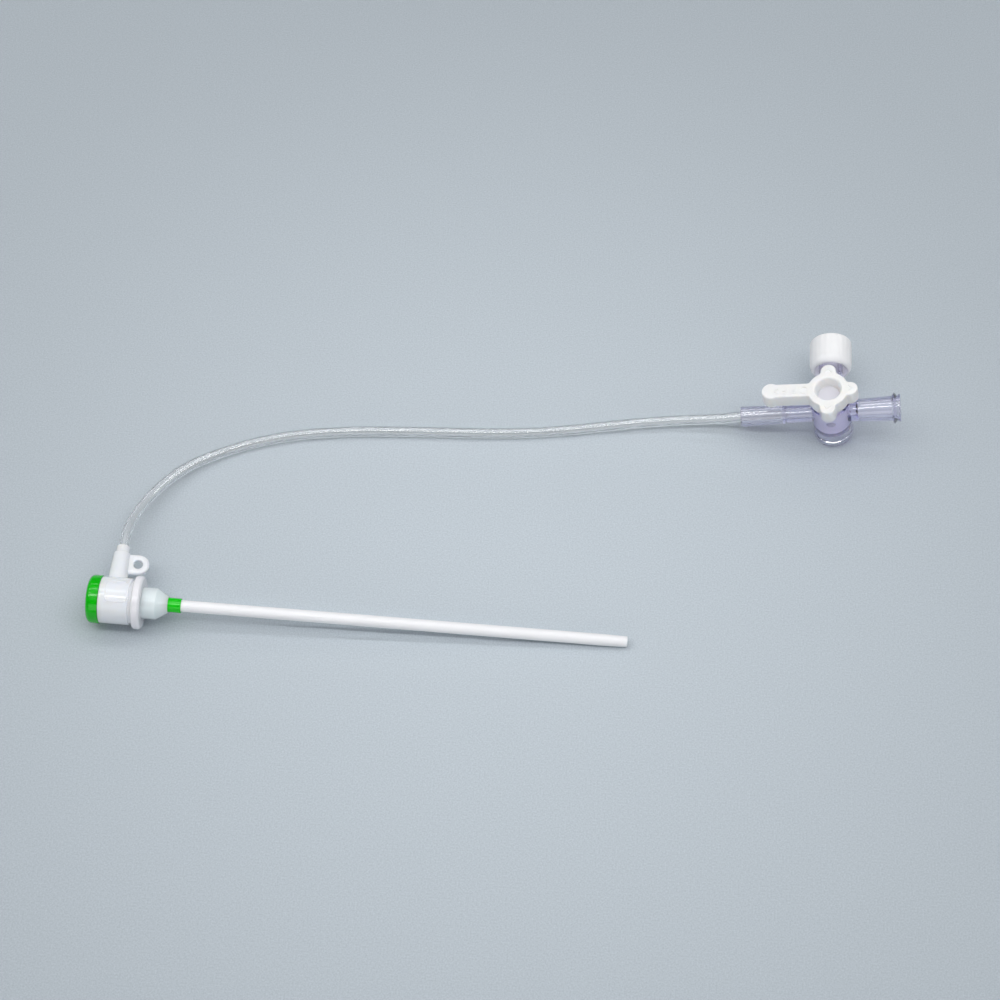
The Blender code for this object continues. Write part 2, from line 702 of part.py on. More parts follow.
def handle_outline():
    """Outline of the handle: three short lugs and one long lever round a disc."""
    limbs = [
        (0, LUG_HALF_WIDTH, LUG_TIP_CENTRE, LUG_HALF_WIDTH),
        (90, LUG_HALF_WIDTH, LUG_TIP_CENTRE, LUG_HALF_WIDTH),
        (180, LEVER_HALF_WIDTH, LEVER_TIP_CENTRE, LEVER_TIP_RADIUS),
        (270, LUG_HALF_WIDTH, LUG_TIP_CENTRE, LUG_HALF_WIDTH),
    ]
    shapes = [limb_outline(*limb) for limb in limbs]
    points = []
    for index, (direction, *_) in enumerate(limbs):
        meet, limb_points = shapes[index]
        next_meet = shapes[(index + 1) % len(limbs)][0]
        points += limb_points
        rim = arc(0.0, 0.0, HANDLE_DISC_RADIUS, direction + meet, direction + 90 - next_meet, 4)
        points += rim[1:-1]
    return points


def make_handle(axes, material):
    """Handle and plug in one piece, with a round recess and a T passage."""
    plate_mesh = extruded_mesh(
        "stopcock_handle",
        handle_outline(),
        PLATE_LOW,
        HANDLE_TOP,
        HANDLE_EDGE_ROUND,
        HANDLE_EDGE_ROUND / 2,
    )
    handle = piece("stopcock_handle", plate_mesh, axes, material)

    plug_end = -WEB_DEPTH + FIT_GAP
    overlap = HANDLE_PLATE_THICKNESS / 10
    plug_outline = [
        (plug_end, 0.0),
        (plug_end, bore_radius(plug_end) - FIT_GAP),
        (SKIRT_LOW, bore_radius(SKIRT_LOW) - FIT_GAP),
        (SKIRT_LOW, HANDLE_SKIRT_RADIUS),
        (PLATE_LOW + overlap, HANDLE_SKIRT_RADIUS),
        (PLATE_LOW + overlap, 0.0),
    ]
    plug = shaping_tool("plug_form", turned_mesh("plug_form", plug_outline, "Z", STOPCOCK_STEPS), axes)
    combine(handle, plug, "UNION")

    recess_floor = HANDLE_TOP - RECESS_DEPTH
    recess_outline = [
        (recess_floor, 0.0),
        (recess_floor, RECESS_FLOOR_RADIUS),
        (recess_floor + RECESS_FLOOR_BLEND, RECESS_RADIUS - RECESS_DRAFT),
        (HANDLE_TOP, RECESS_RADIUS),
        (HANDLE_TOP + FIT_GAP, RECESS_RADIUS),
        (HANDLE_TOP + FIT_GAP, 0.0),
    ]
    recess = shaping_tool(
        "recess_form", turned_mesh("recess_form", recess_outline, "Z", STOPCOCK_STEPS), axes
    )
    combine(handle, recess, "DIFFERENCE")

    reach = PLUG_TOP_RADIUS + FIT_GAP
    passages = {
        "cross_passage": (rod_outline(-reach, reach, PASSAGE_RADIUS), "Y"),
        "stem_passage": (rod_outline(0.0, reach, PASSAGE_RADIUS), "X"),
    }
    for name, (outline, axis) in passages.items():
        passage = shaping_tool(name, turned_mesh(name, outline, axis, BORE_STEPS), axes)
        combine(handle, passage, "DIFFERENCE")
    weld_seams(handle)
    return handle


def make_luer_cap(axes, material):
    """Closed cap with flats outside and a male cone that seals the port's bore."""
    inner_end = CAPPED_PORT_END + FIT_GAP
    outer_end = inner_end + LUER_CAP_END_WALL
    rim = outer_end - LUER_CAP_LENGTH
    outline = [
        (inner_end - MALE_CONE_LENGTH, 0.0),
        (inner_end - MALE_CONE_LENGTH, MALE_CONE_TIP_RADIUS),
        (inner_end, MALE_CONE_RADIUS),
        (inner_end, LUER_CAP_BORE_RADIUS),
        (rim, LUER_CAP_BORE_RADIUS),
        *arc(rim + LUER_CAP_RIM_ROUND, LUER_CAP_RADIUS - LUER_CAP_RIM_ROUND, LUER_CAP_RIM_ROUND, 180, 90, 4),
        *arc(outer_end - LUER_CAP_ROUND, LUER_CAP_RADIUS - LUER_CAP_ROUND, LUER_CAP_ROUND, 90, 0, 4),
        (outer_end, 0.0),
    ]
    mesh = turned_mesh("luer_cap", outline, "Y", LUER_CAP_FLATS)
    mesh.set_sharp_from_angle(angle=math.radians(12))
    return piece("luer_cap", mesh, axes, material)


def smooth_route(points, spacing):
    """Sample a smooth curve through the route's points at even steps."""
    points = [Vector(point) for point in points]
    padded = [2 * points[0] - points[1], *points, 2 * points[-1] - points[-2]]
    fine = []
    for before, start, end, after in zip(padded, padded[1:], padded[2:], padded[3:]):
        length = (end - start).length
        leave = (end - before) * length / ((start - before).length + length)
        arrive = (after - start) * length / ((after - end).length + length)
        for step in range(12):
            t = step / 12
            fine.append(
                start * (2 * t ** 3 - 3 * t ** 2 + 1)
                + leave * (t ** 3 - 2 * t ** 2 + t)
                + end * (3 * t ** 2 - 2 * t ** 3)
                + arrive * (t ** 3 - t ** 2)
            )
    fine.append(points[-1])
    total = sum((b - a).length for a, b in zip(fine, fine[1:]))
    count = round(total / spacing)
    sampled = [fine[0]]
    walked = 0.0
    for a, b in zip(fine, fine[1:]):
        stretch = (b - a).length
        while len(sampled) < count and walked + stretch >= total * len(sampled) / count:
            share = (total * len(sampled) / count - walked) / stretch
            sampled.append(a.lerp(b, share))
        walked += stretch
    sampled.append(fine[-1])
    return sampled


def make_side_tube(sheath_axes, stopcock_axes, material):
    """Plain rod along the tube's route, from the hub's port to the bottom of the socket."""
    port = sheath_axes.matrix_world @ Vector((ARM_STATION, ARM_TIP_END + FIT_GAP, 0.0))
    socket_mouth = stopcock_axes.matrix_world @ Vector((-SOCKET_ARM_END, 0.0, 0.0))
    socket_middle = stopcock_axes.matrix_world @ Vector((-SOCKET_ARM_END + SOCKET_DEPTH / 2, 0.0, 0.0))
    tube_end = stopcock_axes.matrix_world @ Vector(
        (-SOCKET_ARM_END + SOCKET_DEPTH - FIT_GAP, 0.0, 0.0)
    )
    route = [port, *TUBE_ROUTE, socket_mouth, socket_middle, tube_end]
    path = smooth_route(route, TUBE_POINT_SPACING)
    curve = bpy.data.curves.new("side_tube", "CURVE")
    curve.dimensions = "3D"
    curve.bevel_depth = TUBE_RADIUS
    curve.bevel_resolution = 2
    curve.use_fill_caps = True
    spline = curve.splines.new("POLY")
    spline.points.add(len(path) - 1)
    for point, place in zip(spline.points, path):
        point.co = (*place, 1.0)
    curve.materials.append(material)
    tube = bpy.data.objects.new("side_tube", curve)
    bpy.context.collection.objects.link(tube)
    return tube


def build():
    """Make every sub-part and place both assemblies."""
    green = plastic("green cap plastic", (0.0, 0.42, 0.03), 0.25)
    milky = plastic("milky hub plastic", (0.80, 0.83, 0.86), 0.22, 0.25)
    white = plastic("white collar plastic", (0.82, 0.81, 0.84), 0.35)
    frosted = plastic("frosted nose plastic", (0.72, 0.82, 0.82), 0.35, 0.2)
    silicone = plastic("valve silicone", (0.75, 0.76, 0.74), 0.6)
    cannula_white = plastic("cannula white", (0.84, 0.83, 0.85), 0.4)
    clear = plastic("clear tube", (0.85, 0.9, 0.92), 0.08, 0.9)
    tinted = plastic("tinted stopcock plastic", (0.50, 0.45, 0.80), 0.05, 0.85)
    handle_white = plastic("white handle plastic", (0.86, 0.85, 0.83), 0.32)

    turn = (0.0, SHEATH_TILT, 0.0)
    sheath_axes = frame_empty("sheath_axes", (SHEATH_X, SHEATH_Y, SHEATH_Z), turn)
    turn = (0.0, -STOPCOCK_PITCH, STOPCOCK_YAW)
    stopcock_axes = frame_empty("stopcock_axes", (STOPCOCK_X, STOPCOCK_Y, STOPCOCK_Z), turn)
    handle_axes = frame_empty("handle_axes", (0.0, 0.0, 0.0), (0.0, 0.0, HANDLE_TURN))
    handle_axes.parent = stopcock_axes
    bpy.context.view_layer.update()

    make_hub_body(sheath_axes, milky)
    make_valve_cap(sheath_axes, green)
    make_valve(sheath_axes, silicone)
    make_collar(sheath_axes, white)
    make_nose(sheath_axes, frosted)
    make_cannula(sheath_axes, cannula_white)
    make_colour_band(sheath_axes, green)
    make_stopcock_body(stopcock_axes, tinted)
    make_handle(handle_axes, handle_white)
    make_luer_cap(stopcock_axes, handle_white)
    make_side_tube(sheath_axes, stopcock_axes, clear)


build()
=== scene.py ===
# %% [markdown]
# # Vascular introducer sheath on a table
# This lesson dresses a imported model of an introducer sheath: a valved hub on a thin cannula, a clear
# side tube, and a stopcock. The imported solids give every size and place. Each cell makes one piece or
# one finish, says what it is on the real product, and prints what it made.

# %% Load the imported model
import json
import math

import bmesh
import bpy
from mathutils import Matrix, Vector


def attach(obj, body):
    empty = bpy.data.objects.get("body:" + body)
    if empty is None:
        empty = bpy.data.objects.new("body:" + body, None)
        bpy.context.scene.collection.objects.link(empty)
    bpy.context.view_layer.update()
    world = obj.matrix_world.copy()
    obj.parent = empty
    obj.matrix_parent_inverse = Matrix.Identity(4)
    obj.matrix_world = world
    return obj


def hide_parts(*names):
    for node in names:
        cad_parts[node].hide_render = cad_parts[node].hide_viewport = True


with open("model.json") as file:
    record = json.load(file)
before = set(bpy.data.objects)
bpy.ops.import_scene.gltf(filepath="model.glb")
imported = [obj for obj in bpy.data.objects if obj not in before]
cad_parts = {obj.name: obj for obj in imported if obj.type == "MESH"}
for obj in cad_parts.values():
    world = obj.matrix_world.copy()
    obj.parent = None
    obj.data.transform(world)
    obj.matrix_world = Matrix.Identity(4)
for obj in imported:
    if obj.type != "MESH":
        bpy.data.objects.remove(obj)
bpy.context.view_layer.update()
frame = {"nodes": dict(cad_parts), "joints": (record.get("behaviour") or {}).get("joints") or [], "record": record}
scene = bpy.context.scene
MM = 0.001
print("nodes:", ", ".join(sorted(frame["nodes"])))

# %% [markdown]
# ## Axes of the two assemblies
# The hub, nose and cannula share one straight axis, which dips towards the tip because the fat hub
# holds its end up. The stopcock leans on the edge of its base. The model's mounts and joints already
# hold these directions, so they are read from there and never typed again.

# %% Read the axes from the mounts and joints
joints = {joint["name"]: joint for joint in frame["joints"]}
mounts = {mount["name"]: mount for mount in frame["record"]["mounts"]}


def axes_matrix(origin, along, upward):
    """Frame with X along one direction and Z as near as can be to another."""
    along = Vector(along).normalized()
    across = Vector(upward).cross(along).normalized()
    upward = along.cross(across)
    turn = Matrix((along, across, upward)).transposed().to_4x4()
    return Matrix.Translation(Vector(origin)) @ turn


entry = mounts["entry_face"]
# The mount lies on the rear ring of the cap, this far above the sheath's axis.
ENTRY_RING_RADIUS = 3.75 * MM
sheath_along = -Vector(entry["axis"])
sheath_frame = axes_matrix(entry["pos_m"], sheath_along, (0, 0, 1))
sheath_frame = sheath_frame @ Matrix.Translation((0, 0, -ENTRY_RING_RADIUS))

barrel_up = Vector(joints["handle_turn"]["axis"])
third_arm = Vector(joints["cap_off"]["axis"])
stopcock_frame = axes_matrix(joints["handle_turn"]["pos_m"], third_arm.cross(barrel_up), barrel_up)
print("sheath dips by", round(math.degrees(math.asin(-sheath_along.z)), 2), "degrees")
print("stopcock centre at", [round(value, 5) for value in stopcock_frame.translation])

# %% [markdown]
# ## Camera
# The picture is taken from above at 60 degrees with a long lens, so the far end of the object is
# hardly smaller than the near end. The image is square.

# %% Place the camera
CAMERA_PLACE = (0.01531, -0.25038, 0.43269)
CAMERA_FORWARD = Vector((-0.0339, 0.4988, -0.8660))
CAMERA_TURN = math.radians(3.89)
LENS = 72
SENSOR = 36

camera_data = bpy.data.cameras.new("camera")
camera_data.lens = LENS
camera_data.sensor_width = SENSOR
camera_data.clip_start = 0.01
camera = bpy.data.objects.new("camera", camera_data)
scene.collection.objects.link(camera)
camera_right = Vector((math.cos(CAMERA_TURN), math.sin(CAMERA_TURN), 0))
camera.matrix_world = axes_matrix(CAMERA_PLACE, camera_right, -CAMERA_FORWARD)
scene.camera = camera
print("camera looks down at", round(math.degrees(math.asin(-CAMERA_FORWARD.z))), "degrees")

# %% [markdown]
# ## Small tools for meshes
# Nearly every rigid piece here was turned or moulded round an axis. A profile is a list of
# (station, radius) points; spinning it gives the wall. Many segments keep the outline round, and edges
# sharper than 30 degrees stay crisp. Exact Booleans join arms to barrels and drill the bores.

# %% Helpers for turned shapes
FINE_STEPS = 128
WELD = 1e-7
AXIS_VECTORS = {"X": Vector((1, 0, 0)), "Y": Vector((0, 1, 0)), "Z": Vector((0, 0, 1))}
SPIN_START = {"X": Vector((0, 0, 1)), "Y": Vector((0, 0, 1)), "Z": Vector((1, 0, 0))}


def arc(along, out, radius, start, end, steps=8):
    """Points on an arc of a profile, angles in degrees from the forward direction."""
    angles = [math.radians(start + (end - start) * step / steps) for step in range(steps + 1)]
    return [(along + radius * math.cos(a), out + radius * math.sin(a)) for a in angles]


def turned(profile, axis="X", steps=FINE_STEPS):
    """Spin a profile in millimetres round an axis and return a bmesh in metres."""
    shape = bmesh.new()
    direction = AXIS_VECTORS[axis]
    outward = SPIN_START[axis]
    points = [shape.verts.new((direction * s + outward * r) * MM) for s, r in profile]
    edges = [shape.edges.new(pair) for pair in zip(points, points[1:])]
    if profile[0][1] > 0 or profile[-1][1] > 0:
        edges.append(shape.edges.new((points[-1], points[0])))
    bmesh.ops.spin(
        shape,
        geom=points + edges,
        cent=(0, 0, 0),
        axis=direction,
        angle=math.tau,
        steps=steps,
        use_merge=True,
    )
    bmesh.ops.remove_doubles(shape, verts=shape.verts, dist=WELD)
    bmesh.ops.recalc_face_normals(shape, faces=shape.faces)
    return shape


def rod_profile(start, end, radius):
    """Profile of a plain rod along its axis."""
    return [(start, 0), (start, radius), (end, radius), (end, 0)]


print("a turned piece has", FINE_STEPS, "sides round its axis")

# %% Helpers for objects and Booleans
SHARP_ANGLE = math.radians(30)


def mesh_object(name, shape):
    """Put a bmesh into a new object in the scene."""
    mesh = bpy.data.meshes.new(name)
    shape.to_mesh(mesh)
    shape.free()
    new_object = bpy.data.objects.new(name, mesh)
    scene.collection.objects.link(new_object)
    return new_object


def smooth(piece, angle=SHARP_ANGLE):
    """Shade a piece smooth, with its corners kept crisp."""
    piece.data.shade_smooth()
    piece.data.set_sharp_from_angle(angle=angle)
    return piece


def combined(base, tools):
    """Join or cut a base with exact Booleans; tools are (object, operation) pairs."""
    for tool, operation in tools:
        change = base.modifiers.new(tool.name, "BOOLEAN")
        change.object = tool
        change.operation = operation
        change.solver = "EXACT"
    return applied(base, [tool for tool, _ in tools])


def applied(piece, helpers=()):
    """Replace a piece's mesh by its evaluated mesh and delete the helper objects."""
    bpy.context.view_layer.update()
    depsgraph = bpy.context.evaluated_depsgraph_get()
    result = bpy.data.meshes.new_from_object(piece.evaluated_get(depsgraph))
    piece.modifiers.clear()
    piece.data = result
    for helper in helpers:
        bpy.data.objects.remove(helper, do_unlink=True)
    return piece


def settled(piece, place):
    """Move a piece's mesh to its place, so that the object itself stays at the origin."""
    piece.data.transform(place)
    piece.data.update()
    return piece


def finished(piece, material, body, node):
    """Give a piece its finish, its body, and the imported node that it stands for."""
    piece.data.materials.clear()
    piece.data.materials.append(material)
    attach(piece, body)
    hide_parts(node)
    print(piece.name, "has", len(piece.data.polygons), "faces")
    return piece


print("corners over", round(math.degrees(SHARP_ANGLE)), "degrees stay crisp")

# %% [markdown]
# ## The side tube's route
# The clear tube leaves the hub's side arm, comes down to the table in a wide bend, and rises into the
# stopcock's socket. It is one fixed length, seen from end to end in the picture, and its points repeat
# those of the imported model. The tube is pushed over the arm's bore at one end and glued into the
# socket at the other.

# %% Sizes of the tube and its route
TUBE_RADIUS = 1.35 * MM
TUBE_BORE = 0.78 * MM
ARM_STATION = 5.9
ARM_TIP_END = 14.6
SOCKET_MOUTH = -22.5
SOCKET_BOTTOM = -12.1
SOCKET_GAP = 0.3
TUBE_ROUTE = [
    (-0.0915, -0.0204, 0.0065),
    (-0.0909, -0.0167, 0.0061),
    (-0.0897, -0.0128, 0.0055),
    (-0.0880, -0.0090, 0.0048),
    (-0.0860, -0.0055, 0.0041),
    (-0.0837, -0.0022, 0.0034),
    (-0.0810, 0.0008, 0.0028),
    (-0.0780, 0.0034, 0.0023),
    (-0.0714, 0.0075, 0.0016),
    (-0.0640, 0.0107, 0.0014),
    (-0.0550, 0.0133, 0.0014),
    (-0.0455, 0.0149, 0.0014),
    (-0.0358, 0.0159, 0.0014),
    (-0.0229, 0.0166, 0.0014),
    (-0.0135, 0.0170, 0.0014),
    (-0.0038, 0.0175, 0.0014),
    (0.0059, 0.0184, 0.0014),
    (0.0155, 0.0198, 0.0015),
    (0.0236, 0.0212, 0.0017),
    (0.0326, 0.0227, 0.0020),
    (0.0429, 0.0239, 0.0025),
    (0.0520, 0.0244, 0.0034),
]
TUBE_SUNK = 0.6
port = sheath_frame @ (Vector((ARM_STATION, ARM_TIP_END - TUBE_SUNK, 0)) * MM)
socket_mouth = stopcock_frame @ (Vector((SOCKET_MOUTH, 0, 0)) * MM)
socket_middle = stopcock_frame @ (Vector(((SOCKET_MOUTH + SOCKET_BOTTOM) / 2, 0, 0)) * MM)
tube_end = stopcock_frame @ (Vector((SOCKET_BOTTOM - SOCKET_GAP, 0, 0)) * MM)
route = [port, *[Vector(point) for point in TUBE_ROUTE], socket_mouth, socket_middle, tube_end]
print("the route has", len(route), "points")

# %% Walk the route in even steps
TUBE_STEP = 0.8 * MM
STRETCH_PARTS = 16


def smooth_route(points, spacing):
    """Sample a smooth curve through the points at even steps."""
    padded = [2 * points[0] - points[1], *points, 2 * points[-1] - points[-2]]
    fine = []
    for before, start, end, after in zip(padded, padded[1:], padded[2:], padded[3:]):
        length = (end - start).length
        leave = (end - before) * length / ((start - before).length + length)
        arrive = (after - start) * length / ((after - end).length + length)
        for step in range(STRETCH_PARTS):
            t = step / STRETCH_PARTS
            fine.append(
                start * (2 * t**3 - 3 * t**2 + 1)
                + leave * (t**3 - 2 * t**2 + t)
                + end * (3 * t**2 - 2 * t**3)
                + arrive * (t**3 - t**2)
            )
    fine.append(points[-1])
    total = sum((b - a).length for a, b in zip(fine, fine[1:]))
    count = round(total / spacing)
    sampled = [fine[0]]
    walked = 0.0
    for a, b in zip(fine, fine[1:]):
        stretch = (b - a).length
        while len(sampled) < count and walked + stretch >= total * len(sampled) / count:
            sampled.append(a.lerp(b, (total * len(sampled) / count - walked) / stretch))
        walked += stretch
    sampled.append(fine[-1])
    return sampled, total


tube_path, tube_length = smooth_route(route, TUBE_STEP)
print("the tube is", round(tube_length * 1000, 1), "mm long, in", len(tube_path), "steps")

# %% [markdown]
# ## The tube's wall
# A clear tube only looks like a tube if it has a bore: the light bends at the outer skin and again at
# the inner one, which gives the bright and dark lines along it. A curve's bevel would be a solid rod,
# so the wall is a mesh: rings of points carried along the path without twisting, outside and then back
# inside.

# %% Sweep the hollow tube
TUBE_SIDES = 40


def carried_frames(path):
    """A direction and an untwisted side vector at each point of a path."""
    frames = []
    side = None
    for index, point in enumerate(path):
        before = path[max(index - 1, 0)]
        after = path[min(index + 1, len(path) - 1)]
        direction = (after - before).normalized()
        if side is None:
            side = direction.cross(Vector((0, 0, 1))).normalized()
        side = (side - direction * side.dot(direction)).normalized()
        frames.append((point, side, direction.cross(side)))
    return frames


def hollow_tube(path, outer, inner, sides):
    """Closed mesh of a tube with a bore, its two ends cut square."""
    shape = bmesh.new()
    frames = carried_frames(path)
    angles = [math.tau * step / sides for step in range(sides)]
    rings = []
    for radius, ordered in ((outer, frames), (inner, frames[::-1])):
        for point, side, up in ordered:
            corners = [point + (side * math.cos(a) + up * math.sin(a)) * radius for a in angles]
            rings.append([shape.verts.new(corner) for corner in corners])
    for ring, next_ring in zip(rings, rings[1:] + rings[:1]):
        for step in range(sides):
            after = (step + 1) % sides
            shape.faces.new((ring[step], ring[after], next_ring[after], next_ring[step]))
    bmesh.ops.recalc_face_normals(shape, faces=shape.faces)
    return shape


tube_wall = hollow_tube(tube_path, TUBE_RADIUS, TUBE_BORE, TUBE_SIDES)
side_tube = smooth(mesh_object("clear_side_tube", tube_wall))
print("clear_side_tube has", len(side_tube.data.polygons), "faces")

# %% [markdown]
# ## Shared effects for the finishes
# Injection-moulded plastic is never perfectly even: its gloss changes a little over the surface, its
# skin has a faint waviness, and its colour drifts by a shade. One node group holds this effect, and
# every moulded finish uses it with its own values. Two small helpers add a node and join its inputs in
# one line, for this group and for every tree after it.

# %% Helpers for node trees


def join(tree, value, socket):
    """Link another node's output to a socket, or give the socket a value of its own."""
    if isinstance(value, bpy.types.NodeSocket):
        tree.links.new(value, socket)
    else:
        socket.default_value = value


def add_node(tree, kind, options=None, **sockets):
    """Add a node, set its options, and join each named input to an output or a value."""
    made = tree.nodes.new(kind)
    for option, choice in (options or {}).items():
        setattr(made, option, choice)
    for label, value in sockets.items():
        join(tree, value, made.inputs[label.replace("_", " ")])
    return made


def math_node(tree, operation, *values):
    """Add a math step to a tree and return its output."""
    made = tree.nodes.new("ShaderNodeMath")
    made.operation = operation
    for socket, value in zip(made.inputs, values):
        join(tree, value, socket)
    return made.outputs[0]


def new_group(name, inputs, outputs):
    """Start a shader node group with named float or colour sockets."""
    group = bpy.data.node_groups.new(name, "ShaderNodeTree")
    for label, kind, value in inputs:
        socket = group.interface.new_socket(label, in_out="INPUT", socket_type=kind)
        socket.default_value = value
    for label, kind in outputs:
        group.interface.new_socket(label, in_out="OUTPUT", socket_type=kind)
    return group, group.nodes.new("NodeGroupInput"), group.nodes.new("NodeGroupOutput")


# %% Node group for a moulded skin


def build_moulded_skin():
    """Colour drift, uneven gloss and faint waviness of moulded plastic, from object coordinates."""
    group, given, result = new_group(
        "moulded_skin",
        [
            ("Colour", "NodeSocketColor", (0.8, 0.8, 0.8, 1)),
            ("Drift", "NodeSocketFloat", 0.04),
            ("Roughness", "NodeSocketFloat", 0.3),
            ("Gloss Change", "NodeSocketFloat", 0.05),
            ("Wave Size", "NodeSocketFloat", 250.0),
            ("Grain Size", "NodeSocketFloat", 9000.0),
            ("Grain Share", "NodeSocketFloat", 0.2),
        ],
        [("Colour", "NodeSocketColor"), ("Roughness", "NodeSocketFloat"), ("Height", "NodeSocketFloat")],
    )
    sizes = given.outputs
    place = add_node(group, "ShaderNodeTexCoord").outputs["Object"]
    wave = add_node(group, "ShaderNodeTexNoise", Vector=place, Scale=sizes["Wave Size"], Detail=3)
    grain = add_node(group, "ShaderNodeTexNoise", Vector=place, Scale=sizes["Grain Size"], Detail=2)
    centred = math_node(group, "SUBTRACT", wave.outputs["Fac"], 0.5)
    drift = math_node(group, "MULTIPLY_ADD", centred, sizes["Drift"], 1.0)
    shade = add_node(
        group, "ShaderNodeVectorMath", {"operation": "SCALE"}, Vector=sizes["Colour"], Scale=drift
    )
    gloss = math_node(group, "MULTIPLY_ADD", centred, sizes["Gloss Change"], sizes["Roughness"])
    fine = grain.outputs["Fac"]
    height = math_node(group, "MULTIPLY_ADD", fine, sizes["Grain Share"], wave.outputs["Fac"])
    join(group, shade.outputs[0], result.inputs["Colour"])
    join(group, gloss, result.inputs["Roughness"])
    join(group, height, result.inputs["Height"])
    return group


moulded_skin = build_moulded_skin()
print("node group:", moulded_skin.name)

# %% [markdown]
# ## A moulded finish
# Each moulded piece gets a material of its own: one Principled shader, fed by the group with a colour, a
# gloss and a height. What stays the same all over the piece, such as its subsurface scattering, is set
# on the shader's own sockets.

# %% A moulded finish from the group
RELIEF_DEPTH = 0.2 * MM


def moulded(
    name, colour, roughness, bump=0.03, drift=0.04, gloss_change=0.06, wave=250.0, grain=0.2, **plain
):
    """Principled material with the moulded skin; plain values go to the shader's own sockets."""
    material = bpy.data.materials.new(name)
    material.use_nodes = True
    tree = material.node_tree
    shader = tree.nodes["Principled BSDF"]
    skin = add_node(
        tree,
        "ShaderNodeGroup",
        {"node_tree": moulded_skin},
        Colour=(*colour, 1),
        Drift=drift,
        Roughness=roughness,
        Gloss_Change=gloss_change,
        Wave_Size=wave,
        Grain_Share=grain,
    )
    base_colour = skin.outputs["Colour"] if drift > 0 else (*colour, 1)
    join(tree, base_colour, shader.inputs["Base Color"])
    join(tree, skin.outputs["Roughness"], shader.inputs["Roughness"])
    height = skin.outputs["Height"]
    relief = add_node(tree, "ShaderNodeBump", Strength=bump, Distance=RELIEF_DEPTH, Height=height)
    join(tree, relief.outputs["Normal"], shader.inputs["Normal"])
    for label, value in plain.items():
        shader.inputs[label.replace("_", " ")].default_value = value
    return material


# %% [markdown]
# ## The opaque and milky finishes
# The cap and the band are the same strong green in a glossy plastic. The hub is a milky polymer that
# lets light a little way in, which subsurface scattering gives. The nose is a more watery version of
# it, and the collar, the handle and the luer cap are plain white mouldings. The hub, the collar and the
# cap get a stronger bump, because the lamps' reflections on the real ones are broken up and wavy.

# %% Opaque and milky finishes
EVEN_GLOSS = 0.03
cap_green = moulded(
    "cap_green", (0.0, 0.47, 0.0), roughness=0.06, bump=0.2, gloss_change=EVEN_GLOSS, wave=420.0
)
band_green = moulded(
    "band_green", (0.0, 0.58, 0.0), roughness=0.06, bump=0.05, gloss_change=EVEN_GLOSS
)
hub_milky = moulded(
    "hub_milky",
    (0.82, 0.84, 0.88),
    roughness=0.05,
    bump=0.13,
    gloss_change=EVEN_GLOSS,
    wave=360.0,
    Subsurface_Weight=0.7,
    Subsurface_Radius=(1.0, 1.1, 1.3),
    Subsurface_Scale=1.2 * MM,
)
nose_frosted = moulded(
    "nose_frosted",
    (0.75, 0.82, 0.84),
    roughness=0.06,
    bump=0.02,
    gloss_change=0.02,
    Subsurface_Weight=0.8,
    Subsurface_Radius=(1.0, 1.1, 1.1),
    Subsurface_Scale=1.2 * MM,
)
collar_white = moulded(
    "collar_white",
    (0.83, 0.825, 0.86),
    roughness=0.08,
    bump=0.14,
    gloss_change=EVEN_GLOSS,
    wave=360.0,
    Subsurface_Weight=0.7,
    Subsurface_Radius=(1.0, 1.0, 1.0),
    Subsurface_Scale=1.0 * MM,
)
handle_white = moulded(
    "handle_white",
    (0.88, 0.875, 0.87),
    roughness=0.32,
    Subsurface_Weight=0.9,
    Subsurface_Radius=(1.0, 0.9, 0.8),
    Subsurface_Scale=1.2 * MM,
)
luer_white = moulded(
    "luer_white",
    (0.91, 0.91, 0.92),
    roughness=0.34,
    Subsurface_Weight=1.0,
    Subsurface_Radius=(1.0, 1.0, 1.0),
    Subsurface_Scale=1.6 * MM,
)
cannula_white = moulded("cannula_white", (0.90, 0.90, 0.92), roughness=0.30, bump=0.02, wave=160.0)
silicone = moulded("valve_silicone", (0.70, 0.71, 0.69), roughness=0.6, bump=0.1, gloss_change=0.1)
print("opaque finishes:", cap_green.name, hub_milky.name, nose_frosted.name)

# %% [markdown]
# ## The clear finishes
# Clear plastic keeps a white base colour, because its tint comes from its depth: a volume that
# absorbs a little of every colour but blue and violet gives dark corners where the wall is thick and
# a pale middle where it is thin. A clear coat with a high index gives the crisp bright lines along it.
# Light that a clear wall bends towards what lies behind it is slow to trace, so shadow rays go straight
# through the wall instead. Without that, everything inside or under clear plastic is dark. A real clear
# rod or tube gathers light in the middle of its shadow, so the wall passes less where light grazes it.

# %% Clear finishes
COAT_IOR = 1.9
COAT_ROUGHNESS = 0.08


def let_light_through(material, passed):
    """Let shadow rays pass a wall with a grey level or a colour socket, as light soaks through."""
    tree = material.node_tree
    colour = passed if isinstance(passed, bpy.types.NodeSocket) else (passed, passed, passed, 1)
    open_way = add_node(tree, "ShaderNodeBsdfTransparent", Color=colour)
    ray = add_node(tree, "ShaderNodeLightPath")
    either = tree.nodes.new("ShaderNodeMixShader")
    join(tree, ray.outputs["Is Shadow Ray"], either.inputs[0])
    join(tree, tree.nodes["Principled BSDF"].outputs[0], either.inputs[1])
    join(tree, open_way.outputs[0], either.inputs[2])
    join(tree, either.outputs[0], tree.nodes["Material Output"].inputs["Surface"])


